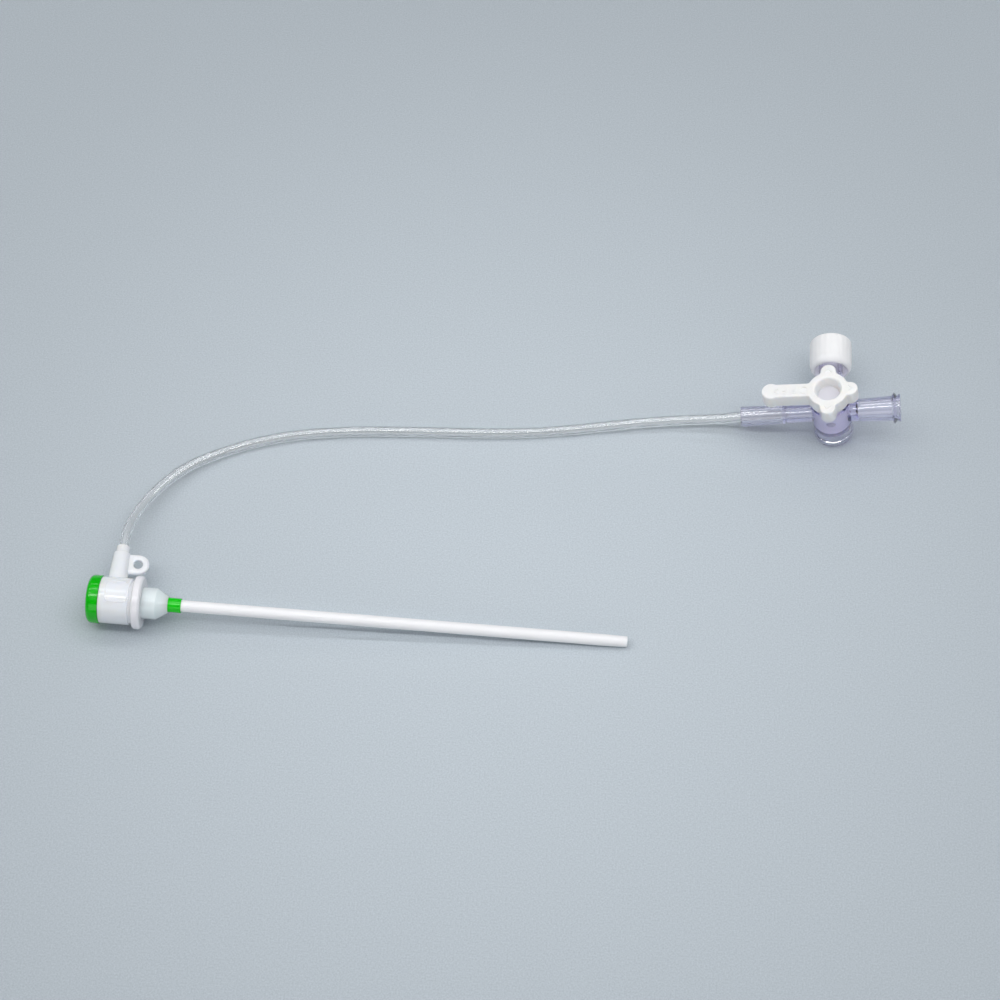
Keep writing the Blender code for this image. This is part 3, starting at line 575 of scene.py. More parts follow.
def clear_plastic(name, tint, density, roughness, ior, bump, wave, pass_face, pass_edge):
    """Clear plastic tinted by depth; its shadow is light in the middle and dark at the rim."""
    material = moulded(
        name,
        (1.0, 1.0, 1.0),
        roughness,
        bump=bump,
        drift=0.0,
        gloss_change=0.02,
        wave=wave,
        grain=0.02,
        Transmission_Weight=1.0,
        IOR=ior,
        Coat_Weight=1.0,
        Coat_IOR=COAT_IOR,
        Coat_Roughness=COAT_ROUGHNESS,
    )
    tree = material.node_tree
    depth = add_node(tree, "ShaderNodeVolumeAbsorption", Color=(*tint, 1), Density=density)
    join(tree, depth.outputs[0], tree.nodes["Material Output"].inputs["Volume"])
    slant = add_node(tree, "ShaderNodeLayerWeight")
    passed = add_node(
        tree,
        "ShaderNodeMix",
        {"data_type": "RGBA"},
        Factor=slant.outputs["Facing"],
        A=(pass_face, pass_face, pass_face, 1),
        B=(pass_edge, pass_edge, pass_edge, 1),
    )
    let_light_through(material, passed.outputs["Result"])
    return material


tube_clear = clear_plastic(
    "tube_clear",
    tint=(0.84, 0.94, 0.95),
    density=30.0,
    roughness=0.03,
    ior=1.42,
    bump=0.0,
    wave=120.0,
    pass_face=0.80,
    pass_edge=0.0,
)
stopcock_tinted = clear_plastic(
    "stopcock_tinted",
    tint=(0.52, 0.44, 0.95),
    density=140.0,
    roughness=0.02,
    ior=1.50,
    bump=0.02,
    wave=220.0,
    pass_face=0.97,
    pass_edge=0.0,
)
WALL_PASS = 0.8
let_light_through(luer_white, WALL_PASS)
print("clear finishes:", tube_clear.name, stopcock_tinted.name)

# %% Finish the side tube
finished(side_tube, tube_clear, "sheath", "side_tube")

# %% [markdown]
# ## The housing
# The hub is one moulding: a round chamber, a neck, a side arm that narrows to a small port, and an
# eyelet for a suture. The turned profile gives the chamber with its bores, and the arm, its bore and
# the eyelet are joined on with Booleans, as the mould's cavities run into each other.

# %% Turn the chamber and the neck
HUB_RADIUS = 5.6
HUB_REAR = 1.6
CAP_FRONT = 2.9
CAP_GAP = 0.03
SHELL_REAR = CAP_FRONT + CAP_GAP
SHELL_FRONT = 10.05
HUB_FRONT = 10.7
CAP_SEAT_RADIUS = 4.9
REAR_EDGE = 0.2
FRONT_EDGE = 0.3
GROOVE_RADIUS = 5.15
GROOVE_LEAD = 0.25
GROOVE_EDGE = 0.1
NECK_FRONT = 16.0
NECK_RADIUS = 2.3
NECK_BORE = 1.715
NECK_FLOOR = 10.9
LUMEN_RADIUS = 1.1
FUNNEL_FRONT = 9.3
FUNNEL_REAR = 8.0
CHAMBER_RADIUS = 3.7
CHAMBER_REAR = 4.6
VALVE_POCKET = 4.3
hub_profile = [
    (HUB_REAR, VALVE_POCKET),
    (HUB_REAR, CAP_SEAT_RADIUS),
    (SHELL_REAR, CAP_SEAT_RADIUS),
    *arc(SHELL_REAR + REAR_EDGE, HUB_RADIUS - REAR_EDGE, REAR_EDGE, 180, 90, 4),
    *arc(SHELL_FRONT - FRONT_EDGE, HUB_RADIUS - FRONT_EDGE, FRONT_EDGE, 90, 0),
    (SHELL_FRONT, GROOVE_RADIUS + 0.05),
    (SHELL_FRONT + GROOVE_LEAD, GROOVE_RADIUS),
    *arc(HUB_FRONT - GROOVE_EDGE, GROOVE_RADIUS - GROOVE_EDGE, GROOVE_EDGE, 90, 0, 3),
    (HUB_FRONT, NECK_RADIUS),
    (NECK_FRONT, NECK_RADIUS),
    (NECK_FRONT, NECK_BORE),
    (NECK_FLOOR, NECK_BORE),
    (NECK_FLOOR, LUMEN_RADIUS),
    (FUNNEL_FRONT, LUMEN_RADIUS),
    (FUNNEL_REAR, CHAMBER_RADIUS),
    (CHAMBER_REAR, CHAMBER_RADIUS),
    (CHAMBER_REAR, VALVE_POCKET),
]
housing = mesh_object("milky_housing", turned(hub_profile))
print("the chamber and neck have", len(housing.data.polygons), "faces")

# %% Turn the side arm
ARM_START = 4.7
ARM_ROOT_RADIUS = 2.4
ARM_DRAFT = 0.04
ARM_SHOULDER = 12.8
ARM_EDGE = 0.45
ARM_STEP_RADIUS = 1.62
ARM_TIP_RADIUS = 1.6
ARM_TIP_EDGE = 0.25
ARM_BORE = 0.8
ARM_BORE_START = 2.0
ARM_BORE_PAST = 0.3
arm_profile = [
    (ARM_START, 0),
    (ARM_START, ARM_ROOT_RADIUS),
    (HUB_RADIUS, ARM_ROOT_RADIUS - ARM_DRAFT),
    *arc(ARM_SHOULDER - ARM_EDGE, ARM_STEP_RADIUS, ARM_EDGE, 88, 0),
    (ARM_SHOULDER, ARM_STEP_RADIUS),
    (ARM_SHOULDER + 0.05, ARM_STEP_RADIUS - ARM_DRAFT),
    *arc(ARM_TIP_END - ARM_TIP_EDGE, ARM_TIP_RADIUS - ARM_TIP_EDGE, ARM_TIP_EDGE, 90, 0, 6),
    (ARM_TIP_END, 0),
]
arm = mesh_object("arm_form", turned(arm_profile, "Y"))
arm.location.x = ARM_STATION * MM
arm_bore_profile = rod_profile(ARM_BORE_START, ARM_TIP_END + ARM_BORE_PAST, ARM_BORE)
arm_bore = mesh_object("arm_bore", turned(arm_bore_profile, "Y", 48))
arm_bore.location.x = ARM_STATION * MM
print("the arm reaches", ARM_TIP_END, "mm from the sheath's axis")

# %% The eyelet beside the arm
EYELET_STATION = 10.2
EYELET_REACH = 9.9
EYELET_RADIUS = 2.65
EYELET_WEB = 3.2
EYELET_HOLE = 1.08
EYELET_HALF = 0.65
EYELET_EDGE = 0.55
HOLE_ROUND = 0.4
CUT_PAST = 0.1


def eyelet_outline(radius, steps=48):
    """Half disc that runs on as a straight web towards the arm."""
    web = [(-EYELET_WEB, radius), (-EYELET_WEB, -radius)]
    return web + arc(0, 0, radius, -90, 90, steps)


def rounded_plate(outline, half, edge, segments=6):
    """Flat plate from an outline in millimetres, with rounded rims."""
    shape = bmesh.new()
    base = shape.faces.new([shape.verts.new((x * MM, y * MM, -half * MM)) for x, y in outline])
    lifted = bmesh.ops.extrude_face_region(shape, geom=[base])
    top = [item for item in lifted["geom"] if isinstance(item, bmesh.types.BMVert)]
    bmesh.ops.translate(shape, verts=top, vec=(0, 0, 2 * half * MM))
    bmesh.ops.recalc_face_normals(shape, faces=shape.faces)
    rims = [e for e in shape.edges if abs(e.verts[0].co.z - e.verts[1].co.z) < WELD]
    bmesh.ops.bevel(
        shape,
        geom=rims,
        offset=edge * MM,
        offset_type="OFFSET",
        segments=segments,
        profile=0.5,
        affect="EDGES",
    )
    return shape


eyelet_plate = rounded_plate(eyelet_outline(EYELET_RADIUS), EYELET_HALF, EYELET_EDGE)
eyelet = mesh_object("eyelet_form", eyelet_plate)
eyelet.location = Vector((EYELET_STATION, EYELET_REACH, 0)) * MM
hole_lip = arc(EYELET_HALF - HOLE_ROUND, EYELET_HOLE + HOLE_ROUND, HOLE_ROUND, -90, 0, 6)
hole_width = EYELET_HOLE + HOLE_ROUND + CUT_PAST
hole_profile = [
    (-EYELET_HALF - CUT_PAST, 0),
    (-EYELET_HALF - CUT_PAST, hole_width),
    *[(-along, out) for along, out in reversed(hole_lip)],
    *hole_lip,
    (EYELET_HALF + CUT_PAST, hole_width),
    (EYELET_HALF + CUT_PAST, 0),
]
hole = mesh_object("eyelet_hole", turned(hole_profile, "Z", 64))
hole.location = eyelet.location
print("the eyelet is", round(2 * EYELET_RADIUS, 2), "mm wide, with a hole of", 2 * EYELET_HOLE, "mm")

# %% [markdown]
# ## The finger pad's rim
# On top of the chamber a low rounded rib runs round a square pad, where a thumb holds the hub. The rib
# follows the round chamber, so it is grown by Geometry Nodes: a rounded square is laid on a cylinder and
# swept with a small circle. Its sizes stay named inputs of the tree. The rib and the housing are one
# moulding, so they are joined by a Boolean; light then soaks through both alike.

# %% Helpers for Geometry Nodes


def new_tree(name, inputs):
    """Start a geometry tree with named inputs; returns the tree, its input node and its output node."""
    tree = bpy.data.node_groups.new(name, "GeometryNodeTree")
    tree.interface.new_socket("Geometry", in_out="OUTPUT", socket_type="NodeSocketGeometry")
    for label, kind, value in inputs:
        socket = tree.interface.new_socket(label, in_out="INPUT", socket_type=kind)
        socket.default_value = value
    return tree, tree.nodes.new("NodeGroupInput"), tree.nodes.new("NodeGroupOutput")


def close_tree(tree, geometry, result, material):
    """End a tree in Realize Instances and Set Material."""
    realize = add_node(tree, "GeometryNodeRealizeInstances", Geometry=geometry)
    paint = add_node(
        tree, "GeometryNodeSetMaterial", Geometry=realize.outputs[0], Material=material
    )
    join(tree, paint.outputs[0], result.inputs[0])


def grown(name, tree, **sizes):
    """Evaluate a tree with given sizes and keep the result as a plain mesh."""
    piece = mesh_object(name, bmesh.new())
    modifier = piece.modifiers.new(tree.name, "NODES")
    modifier.node_group = tree
    for item in tree.interface.items_tree:
        if item.in_out == "INPUT" and item.name in sizes:
            modifier[item.identifier] = sizes[item.name]
    return applied(piece)


# %% Grow the rim of the pad
def pad_rim_tree():
    """Rounded rib on a cylinder round the X axis."""
    length = "NodeSocketFloat"
    tree, given, result = new_tree(
        "pad_rim",
        [("Width", length, 5.2 * MM), ("Depth", length, 5.4 * MM), ("Corner", length, 1.1 * MM),
         ("Rib", length, 0.15 * MM), ("Radius", length, 5.6 * MM), ("Station", length, 7.2 * MM)],
    )
    sizes = given.outputs
    square = add_node(
        tree, "GeometryNodeCurvePrimitiveQuadrilateral", Width=sizes["Width"], Height=sizes["Depth"]
    )
    rounded = add_node(
        tree,
        "GeometryNodeFilletCurve",
        {"mode": "POLY"},
        Curve=square.outputs[0],
        Radius=sizes["Corner"],
        Count=10,
    )
    even = add_node(tree, "GeometryNodeResampleCurve", Curve=rounded.outputs[0], Count=160)
    place = add_node(tree, "GeometryNodeInputPosition").outputs[0]
    parts = add_node(tree, "ShaderNodeSeparateXYZ", Vector=place).outputs
    reach = math_node(tree, "MULTIPLY", sizes["Radius"], sizes["Radius"])
    aside = math_node(tree, "MULTIPLY", parts["Y"], parts["Y"])
    upward = math_node(tree, "SQRT", math_node(tree, "SUBTRACT", reach, aside))
    along = math_node(tree, "ADD", parts["X"], sizes["Station"])
    laid = add_node(tree, "ShaderNodeCombineXYZ", X=along, Y=parts["Y"], Z=upward).outputs[0]
    wrap = add_node(tree, "GeometryNodeSetPosition", Geometry=even.outputs[0], Position=laid)
    ring = add_node(tree, "GeometryNodeCurvePrimitiveCircle", Resolution=12, Radius=sizes["Rib"])
    sweep = add_node(
        tree, "GeometryNodeCurveToMesh", Curve=wrap.outputs[0], Profile_Curve=ring.outputs[0]
    )
    close_tree(tree, sweep.outputs[0], result, hub_milky)
    return tree


RIM_RIB = 0.16
RIM_SUNK = 0.04
pad_rim = grown("finger_pad_rim", pad_rim_tree(), Rib=RIM_RIB * MM, Radius=(HUB_RADIUS - RIM_SUNK) * MM)
print("the rim has", len(pad_rim.data.polygons), "faces")

# %% Join the housing
tools = [
    (arm, "UNION"),
    (eyelet, "UNION"),
    (pad_rim, "UNION"),
    (hole, "DIFFERENCE"),
    (arm_bore, "DIFFERENCE"),
]
combined(housing, tools)
settled(housing, sheath_frame)
smooth(housing)
finished(housing, hub_milky, "sheath", "hub_body")

# %% [markdown]
# ## The green cap and its valve
# The cap is a plain turned piece on the sheath's axis, with a round rear edge and a funnel at its entry
# hole. Behind it sits a silicone disc with two crossed slits, which shows inside the hole.

# %% Turn the cap
ENTRY_RADIUS = 2.2
ENTRY_ROUND = 0.75
LIP_STATION = 0.6
CAP_RADIUS = 5.8
CAP_INSIDE = 5.2
CAP_FLOOR = 1.3
CAP_ROUND = 1.2
CAP_EDGE = 0.08
cap_profile = [
    (CAP_FLOOR, ENTRY_RADIUS),
    (ENTRY_ROUND, ENTRY_RADIUS),
    *arc(LIP_STATION, ENTRY_RADIUS + ENTRY_ROUND, ENTRY_ROUND, -90, -180, 6),
    *arc(CAP_ROUND, CAP_RADIUS - CAP_ROUND, CAP_ROUND, 180, 90, 12),
    *arc(CAP_FRONT - CAP_EDGE, CAP_RADIUS - CAP_EDGE, CAP_EDGE, 90, 0, 3),
    (CAP_FRONT, CAP_INSIDE),
    (CAP_FLOOR, CAP_INSIDE),
]
cap = smooth(mesh_object("green_valve_cap", turned(cap_profile)))
finished(settled(cap, sheath_frame), cap_green, "sheath", "valve_cap")

# %% Turn the valve and cut its slits
VALVE_FRONT = 4.3
VALVE_RADIUS = 4.0
VALVE_EDGE = 0.3
SLIT_WIDTH = 0.15
SLIT_LENGTH = 3.0
SLIT_DEPTH = 6
valve_profile = [
    (HUB_REAR, 0),
    *arc(HUB_REAR + VALVE_EDGE, VALVE_RADIUS - VALVE_EDGE, VALVE_EDGE, 180, 90, 4),
    *arc(VALVE_FRONT - VALVE_EDGE, VALVE_RADIUS - VALVE_EDGE, VALVE_EDGE, 90, 0, 4),
    (VALVE_FRONT, 0),
]
valve = mesh_object("slit_valve", turned(valve_profile))
slit_sizes = {
    "slit_upright": (SLIT_DEPTH, SLIT_WIDTH, SLIT_LENGTH),
    "slit_level": (SLIT_DEPTH, SLIT_LENGTH, SLIT_WIDTH),
}
slits = []
for name, size in slit_sizes.items():
    block = bmesh.new()
    bmesh.ops.create_cube(block, size=1.0)
    bmesh.ops.scale(block, vec=Vector(size) * MM, verts=block.verts)
    slit = mesh_object(name, block)
    slit.location.x = (HUB_REAR + VALVE_FRONT) / 2 * MM
    slits.append((slit, "DIFFERENCE"))
combined(valve, slits)
finished(smooth(settled(valve, sheath_frame)), silicone, "sheath", "hemostasis_valve")

# %% [markdown]
# ## Collar, nose, band and cannula
# These are plain turned pieces too. Their rims have small round edges, which catch the light as thin
# bright lines. The cannula is drawn to a thin rounded tip, so that it slips in without a step.

# %% Turn the collar
COLLAR_REAR = HUB_FRONT + 0.05
COLLAR_FRONT = 12.9
COLLAR_RADIUS = 6.4
COLLAR_BORE = 3.78
COLLAR_LAND = 5.3
COLLAR_LEAN = 0.1
BACK_ROUND = 0.6
FACE_ROUND = 0.7
back_centre = COLLAR_REAR + COLLAR_LEAN + BACK_ROUND
collar_profile = [
    (COLLAR_REAR, COLLAR_BORE),
    (COLLAR_REAR, COLLAR_LAND),
    *arc(back_centre, COLLAR_RADIUS - BACK_ROUND, BACK_ROUND, 180, 90, 10),
    *arc(COLLAR_FRONT - FACE_ROUND, COLLAR_RADIUS - FACE_ROUND, FACE_ROUND, 90, 0, 10),
    (COLLAR_FRONT, COLLAR_BORE),
]
collar = smooth(mesh_object("white_collar", turned(collar_profile)))
finished(settled(collar, sheath_frame), collar_white, "sheath", "front_collar")

# %% Turn the nose
NOSE_REAR = 10.8
NOSE_RADIUS = 3.75
NOSE_BORE = 2.6
NOSE_SHOULDER = 16.15
NOSE_FRONT = 19.0
NOSE_MOUTH = 1.85
NOSE_SLANT = 57
SHOULDER_ROUND = 0.3
MOUTH_ROUND = 0.15
nose_profile = [
    (NOSE_REAR, NOSE_BORE),
    (NOSE_REAR, NOSE_RADIUS),
    *arc(NOSE_SHOULDER, NOSE_RADIUS - SHOULDER_ROUND, SHOULDER_ROUND, 90, NOSE_SLANT, 6),
    *arc(NOSE_FRONT - MOUTH_ROUND, NOSE_MOUTH + 0.1, MOUTH_ROUND, NOSE_SLANT, 0, 4),
    (NOSE_FRONT, NOSE_MOUTH),
    (NECK_FRONT + 0.4, NOSE_MOUTH),
    (NECK_FRONT + 0.3, NOSE_BORE),
]
nose = smooth(mesh_object("frosted_nose", turned(nose_profile)))
finished(settled(nose, sheath_frame), nose_frosted, "sheath", "strain_relief")

# %% Turn the band and the cannula
CANNULA_RADIUS = 1.415
CANNULA_REAR = 11.2
CANNULA_RINGS = [12.0 + 10.0 * step for step in range(12)]
TAPER_START = 123.0
TIP_END = 129.0
TIP_RADIUS = 1.3
TIP_ROUND = 0.15
CANNULA_SIDES = 96
BAND_REAR = 16.8
BAND_FRONT = 22.1
BAND_RADIUS = 1.75
BAND_BORE = CANNULA_RADIUS + 0.1
BAND_EDGE = 0.1
band_profile = [
    (BAND_REAR, BAND_BORE),
    (BAND_REAR, BAND_RADIUS),
    *arc(BAND_FRONT - BAND_EDGE, BAND_RADIUS - BAND_EDGE, BAND_EDGE, 90, 0, 4),
    (BAND_FRONT, BAND_BORE),
]
band = smooth(mesh_object("green_band", turned(band_profile)))
finished(settled(band, sheath_frame), band_green, "sheath", "colour_band")

cannula_profile = [
    (CANNULA_REAR, LUMEN_RADIUS),
    (CANNULA_REAR, CANNULA_RADIUS),
    *[(station, CANNULA_RADIUS) for station in CANNULA_RINGS],
    (TAPER_START, CANNULA_RADIUS),
    *arc(TIP_END - TIP_ROUND, TIP_RADIUS - TIP_ROUND, TIP_ROUND, 85, 0, 5),
    (TIP_END, LUMEN_RADIUS),
]
cannula = smooth(mesh_object("white_cannula", turned(cannula_profile, steps=CANNULA_SIDES)))
finished(settled(cannula, sheath_frame), cannula_white, "sheath", "cannula")

# %% [markdown]
# ## The stopcock's clear body
# Because it is clear, everything inside shows: the barrel round the plug, the hollow skirt under it,
# the step where the tube's socket ends, and the tapered bores of the two luer ports. The body is one
# union of turned forms with the bores cut out, so that light crosses each wall exactly once going in
# and once coming out.

# %% Turn the barrel
BARREL_TOP = 4.85
BARREL_RADIUS = 4.9
BARREL_EDGE = 0.15
WEB_DEPTH = 4.1
WEB_UNDER = 4.9
SKIRT_END = 8.7
SKIRT_RADIUS = 5.0
SKIRT_BORE = 4.1
SKIRT_DRAFT = 0.1
SKIRT_EDGE = 0.2
GROOVE_FLOOR = 4.65
PLUG_RADIUS = 2.9
PLUG_GROWTH = 0.2
PLUG_LENGTH = 8.8
PLUG_SUNK = 0.05


def plug_radius(height):
    """Radius of the tapered plug at a height."""
    return PLUG_RADIUS + PLUG_GROWTH * (height + WEB_DEPTH) / PLUG_LENGTH


barrel_profile = [
    (-WEB_UNDER, 0),
    (-WEB_UNDER, SKIRT_BORE),
    (-SKIRT_END + 0.15, SKIRT_BORE + SKIRT_DRAFT),
    (-SKIRT_END, SKIRT_BORE + 2 * SKIRT_DRAFT),
    *arc(-SKIRT_END + SKIRT_EDGE, SKIRT_RADIUS - SKIRT_EDGE, SKIRT_EDGE, 180, 90, 5),
    (-7.0, SKIRT_RADIUS),
    (-6.85, GROOVE_FLOOR),
    (-6.25, GROOVE_FLOOR),
    (-6.1, BARREL_RADIUS + 0.05),
    (BARREL_TOP - BARREL_EDGE, BARREL_RADIUS),
    *arc(BARREL_TOP - BARREL_EDGE, BARREL_RADIUS - BARREL_EDGE, BARREL_EDGE, 90, 0, 4)[1:],
    (BARREL_TOP, plug_radius(BARREL_TOP) - PLUG_SUNK),
    (-WEB_DEPTH, plug_radius(-WEB_DEPTH) - PLUG_SUNK),
    (-WEB_DEPTH, 0),
]
body = mesh_object("clear_body", turned(barrel_profile, "Z"))
print("the barrel has", len(body.data.polygons), "faces")

# %% The two luer ports
ROOT = 3.55
PORT_ROOT_RADIUS = 2.7
PORT_RADIUS = 3.16
RIDGE_RADIUS = 3.9
RIDGE_BACK = 1.55
MOUTH_RADIUS = 3.53
RIM_EDGE = 0.12
PASSAGE_RADIUS = 0.95
PASSAGE_START = 1.5
TAPER_DEPTH = 10.5
TAPER_SMALL = 1.84
TAPER_WIDE = 2.14
MOUTH_BORE = 2.4
BORE_SIDES = 96
OPEN_PORT_END = 17.1
CAPPED_PORT_END = 18.9


def port_profile(end):
    """Outline of a female luer port with its thread ridge and flared mouth."""
    crest = end - RIDGE_BACK
    return [
        (ROOT, 0),
        (ROOT, PORT_ROOT_RADIUS),
        (crest - 0.55, PORT_RADIUS),
        *arc(crest, RIDGE_RADIUS - RIM_EDGE, RIM_EDGE, 150, 30, 4),
        (crest + 0.7, PORT_RADIUS + 0.04),
        *arc(end - RIM_EDGE, MOUTH_RADIUS - RIM_EDGE, RIM_EDGE, 100, 0, 4),
        (end, 0),
    ]


def port_bore(end):
    """Tapered bore of a luer port, with the passage behind it."""
    return [
        (PASSAGE_START, 0),
        (PASSAGE_START, PASSAGE_RADIUS),
        (end - TAPER_DEPTH - 0.4, PASSAGE_RADIUS),
        (end - TAPER_DEPTH, TAPER_SMALL),
        (end - 0.25, TAPER_WIDE),
        (end + CUT_PAST, MOUTH_BORE),
        (end + CUT_PAST, 0),
    ]


print("a port tapers from", 2 * TAPER_WIDE, "to", 2 * TAPER_SMALL, "mm")

# %% The tube's socket, and the whole body
SOCKET_ROOT_RADIUS = 2.15
SOCKET_STEP = -11.3
SOCKET_RADIUS = 2.4
SOCKET_ROUND = 0.2
SOCKET_SEAT = 1.62
SOCKET_WIDE = 1.65
SOCKET_FLARE = 1.9
socket_profile = [
    (-ROOT, 0),
    (-ROOT, SOCKET_ROOT_RADIUS),
    (SOCKET_STEP, SOCKET_ROOT_RADIUS + 0.05),
    (SOCKET_STEP - 0.1, SOCKET_RADIUS),
    *arc(SOCKET_MOUTH + SOCKET_ROUND, SOCKET_RADIUS, SOCKET_ROUND, 90, 180, 5),
    (SOCKET_MOUTH, 0),
]
socket_bore = [
    (-PASSAGE_START, 0),
    (-PASSAGE_START, PASSAGE_RADIUS),
    (SOCKET_BOTTOM, PASSAGE_RADIUS),
    (SOCKET_BOTTOM, SOCKET_SEAT),
    (SOCKET_MOUTH + SOCKET_ROUND, SOCKET_WIDE),
    (SOCKET_MOUTH - CUT_PAST, SOCKET_FLARE),
    (SOCKET_MOUTH - CUT_PAST, 0),
]
open_bore = turned(port_bore(OPEN_PORT_END), "X", BORE_SIDES)
capped_bore = turned(port_bore(CAPPED_PORT_END), "Y", BORE_SIDES)
tools = [
    (mesh_object("socket_form", turned(socket_profile, "X")), "UNION"),
    (mesh_object("open_port_form", turned(port_profile(OPEN_PORT_END), "X")), "UNION"),
    (mesh_object("capped_port_form", turned(port_profile(CAPPED_PORT_END), "Y")), "UNION"),
    (mesh_object("socket_bore", turned(socket_bore, "X", BORE_SIDES)), "DIFFERENCE"),
    (mesh_object("open_port_bore", open_bore), "DIFFERENCE"),
    (mesh_object("capped_port_bore", capped_bore), "DIFFERENCE"),
]
combined(body, tools)
settled(body, stopcock_frame)
finished(smooth(body), stopcock_tinted, "sheath", "stopcock_body")

# %% [markdown]
# ## The handle and its plug
# The handle is a flat plate with three short lugs and one long lever, all blended into a round disc
# with a recess. Its outline is built limb by limb from arcs, so the blends stay round, and its rims are
# bevelled. The plug below it is tapered and has a T-shaped passage that lines up with the ports.

# %% Outline of the handle
DISC = 5.0
BLEND = 0.95
# Half width, distance to the centre of the tip, and radius of the tip.
LUG = (1.9, 5.35, 1.9)
LEVER = (1.92, 14.05, 2.25)


def limb(direction, half_width, tip_centre, tip_radius):
    """One limb of the handle's outline and the angle at which it meets the disc."""
    out = half_width + BLEND
    along = math.sqrt((DISC + BLEND) ** 2 - out**2)
    meet = math.degrees(math.atan2(out, along))
    tip = 180 - math.degrees(math.asin(half_width / tip_radius))
    points = arc(along, -out, BLEND, 180 - meet, 90, 10)
    points += arc(tip_centre, 0, tip_radius, -tip, tip, 28)
    points += arc(along, out, BLEND, -90, meet - 180, 10)
    turn = Matrix.Rotation(math.radians(direction), 2)
    return meet, [tuple(turn @ Vector(point)) for point in points]


def handle_outline():
    """Three lugs and a lever round the disc."""
    limbs = [(0, *LUG), (90, *LUG), (180, *LEVER), (270, *LUG)]
    shapes = [limb(*values) for values in limbs]
    points = []
    for index, (direction, *_) in enumerate(limbs):
        meet, limb_points = shapes[index]
        next_meet = shapes[(index + 1) % 4][0]
        points += limb_points
        points += arc(0, 0, DISC, direction + meet, direction + 90 - next_meet, 12)[1:-1]
    return points
print("the outline has", len(handle_outline()), "points")

# %% Heights of the handle's plate
PLATE_LOW = 6.15
PLATE_TOP = 10.5
PLATE_HALF = (PLATE_TOP - PLATE_LOW) / 2
HANDLE_TURN = math.radians(-1.4)
print("plate is", round(2 * PLATE_HALF, 2), "mm thick")

# %% [markdown]
# ## Marks on the handle
# Low raised marks are moulded on top of the handle: OFF along the lever, read from the far side, with an
# arrow towards its tip, and a small chevron on each lug that shows which ports are open. The letters are
# text turned into a mesh. The chevrons repeat round the centre, so Geometry Nodes place them.

# %% Letters and arrow on the lever
MARK_HEIGHT = 0.17
LETTER_SIZE = 2.9
LETTER_SWELL = 0.03
LETTER_WELD = 1e-6
LETTER_STATIONS = (("O", -5.85), ("F", -8.2), ("F", -10.5), (">", -12.9))


def letter_mesh(letter):
    """One raised letter as a plain mesh round the origin, in metres."""
    text = bpy.data.curves.new("letter", "FONT")
    text.body = letter
    text.size = LETTER_SIZE * MM
    text.extrude = MARK_HEIGHT * MM
    text.offset = LETTER_SWELL * MM
    text.align_x = "CENTER"
    text.align_y = "CENTER"
    carrier = bpy.data.objects.new("letter", text)
    scene.collection.objects.link(carrier)
    depsgraph = bpy.context.evaluated_depsgraph_get()
    mesh = bpy.data.meshes.new_from_object(carrier.evaluated_get(depsgraph))
    bpy.data.objects.remove(carrier, do_unlink=True)
    return mesh


marks = bmesh.new()
for letter, station in LETTER_STATIONS:
    mesh = letter_mesh(letter)
    place = Matrix.Translation(Vector((station, 0, PLATE_TOP)) * MM)
    mesh.transform(place @ Matrix.Rotation(math.pi, 4, "Z"))
    marks.from_mesh(mesh)
bmesh.ops.remove_doubles(marks, verts=marks.verts, dist=LETTER_WELD)
bmesh.ops.recalc_face_normals(marks, faces=marks.faces)
lever_marks = mesh_object("raised_off_and_arrow", marks)
print("the letters have", len(lever_marks.data.polygons), "faces")


# %% Chevrons on the lugs
def chevron_tree():
    """A small chevron on each of three lugs, at quarter turns round the centre."""
    length = "NodeSocketFloat"
    tree, given, result = new_tree(
        "lug_chevrons",
        [("Reach", length, 5.0 * MM), ("Half Width", length, 0.85 * MM), ("Point", length, 0.8 * MM),
         ("Rib", length, 0.12 * MM), ("Height", length, PLATE_TOP * MM)],
    )
    sizes = given.outputs
    spots = add_node(tree, "GeometryNodeMeshCircle", Vertices=4, Radius=sizes["Reach"])
    place = add_node(tree, "GeometryNodeInputPosition").outputs[0]
    parts = add_node(tree, "ShaderNodeSeparateXYZ", Vector=place).outputs
    on_lever = math_node(tree, "LESS_THAN", parts["X"], -1.0 * MM)
    lugs = add_node(
        tree,
        "GeometryNodeDeleteGeometry",
        {"domain": "POINT"},
        Geometry=spots.outputs[0],
        Selection=on_lever,
    )
    facing = add_node(tree, "FunctionNodeAlignRotationToVector", {"axis": "X"}, Vector=place)
    left = math_node(tree, "MULTIPLY", sizes["Half Width"], -1.0)
    right = math_node(tree, "MULTIPLY", sizes["Half Width"], 1.0)
    peak = math_node(tree, "MULTIPLY", sizes["Point"], 2.0)
    bent = add_node(
        tree,
        "GeometryNodeCurveQuadraticBezier",
        Resolution=2,
        Start=add_node(tree, "ShaderNodeCombineXYZ", Y=left).outputs[0],
        Middle=add_node(tree, "ShaderNodeCombineXYZ", X=peak).outputs[0],
        End=add_node(tree, "ShaderNodeCombineXYZ", Y=right).outputs[0],
    )
    ring = add_node(tree, "GeometryNodeCurvePrimitiveCircle", Resolution=10, Radius=sizes["Rib"])
    sweep = add_node(
        tree,
        "GeometryNodeCurveToMesh",
        Curve=bent.outputs[0],
        Profile_Curve=ring.outputs[0],
        Fill_Caps=True,
    )
    spread = add_node(
        tree,
        "GeometryNodeInstanceOnPoints",
        Points=lugs.outputs[0],
        Instance=sweep.outputs[0],
        Rotation=facing.outputs[0],
    )
    raised = add_node(
        tree,
        "GeometryNodeTranslateInstances",
        Instances=spread.outputs[0],
        Translation=add_node(tree, "ShaderNodeCombineXYZ", Z=sizes["Height"]).outputs[0],
        Local_Space=False,
    )
    close_tree(tree, raised.outputs[0], result, handle_white)
    return tree


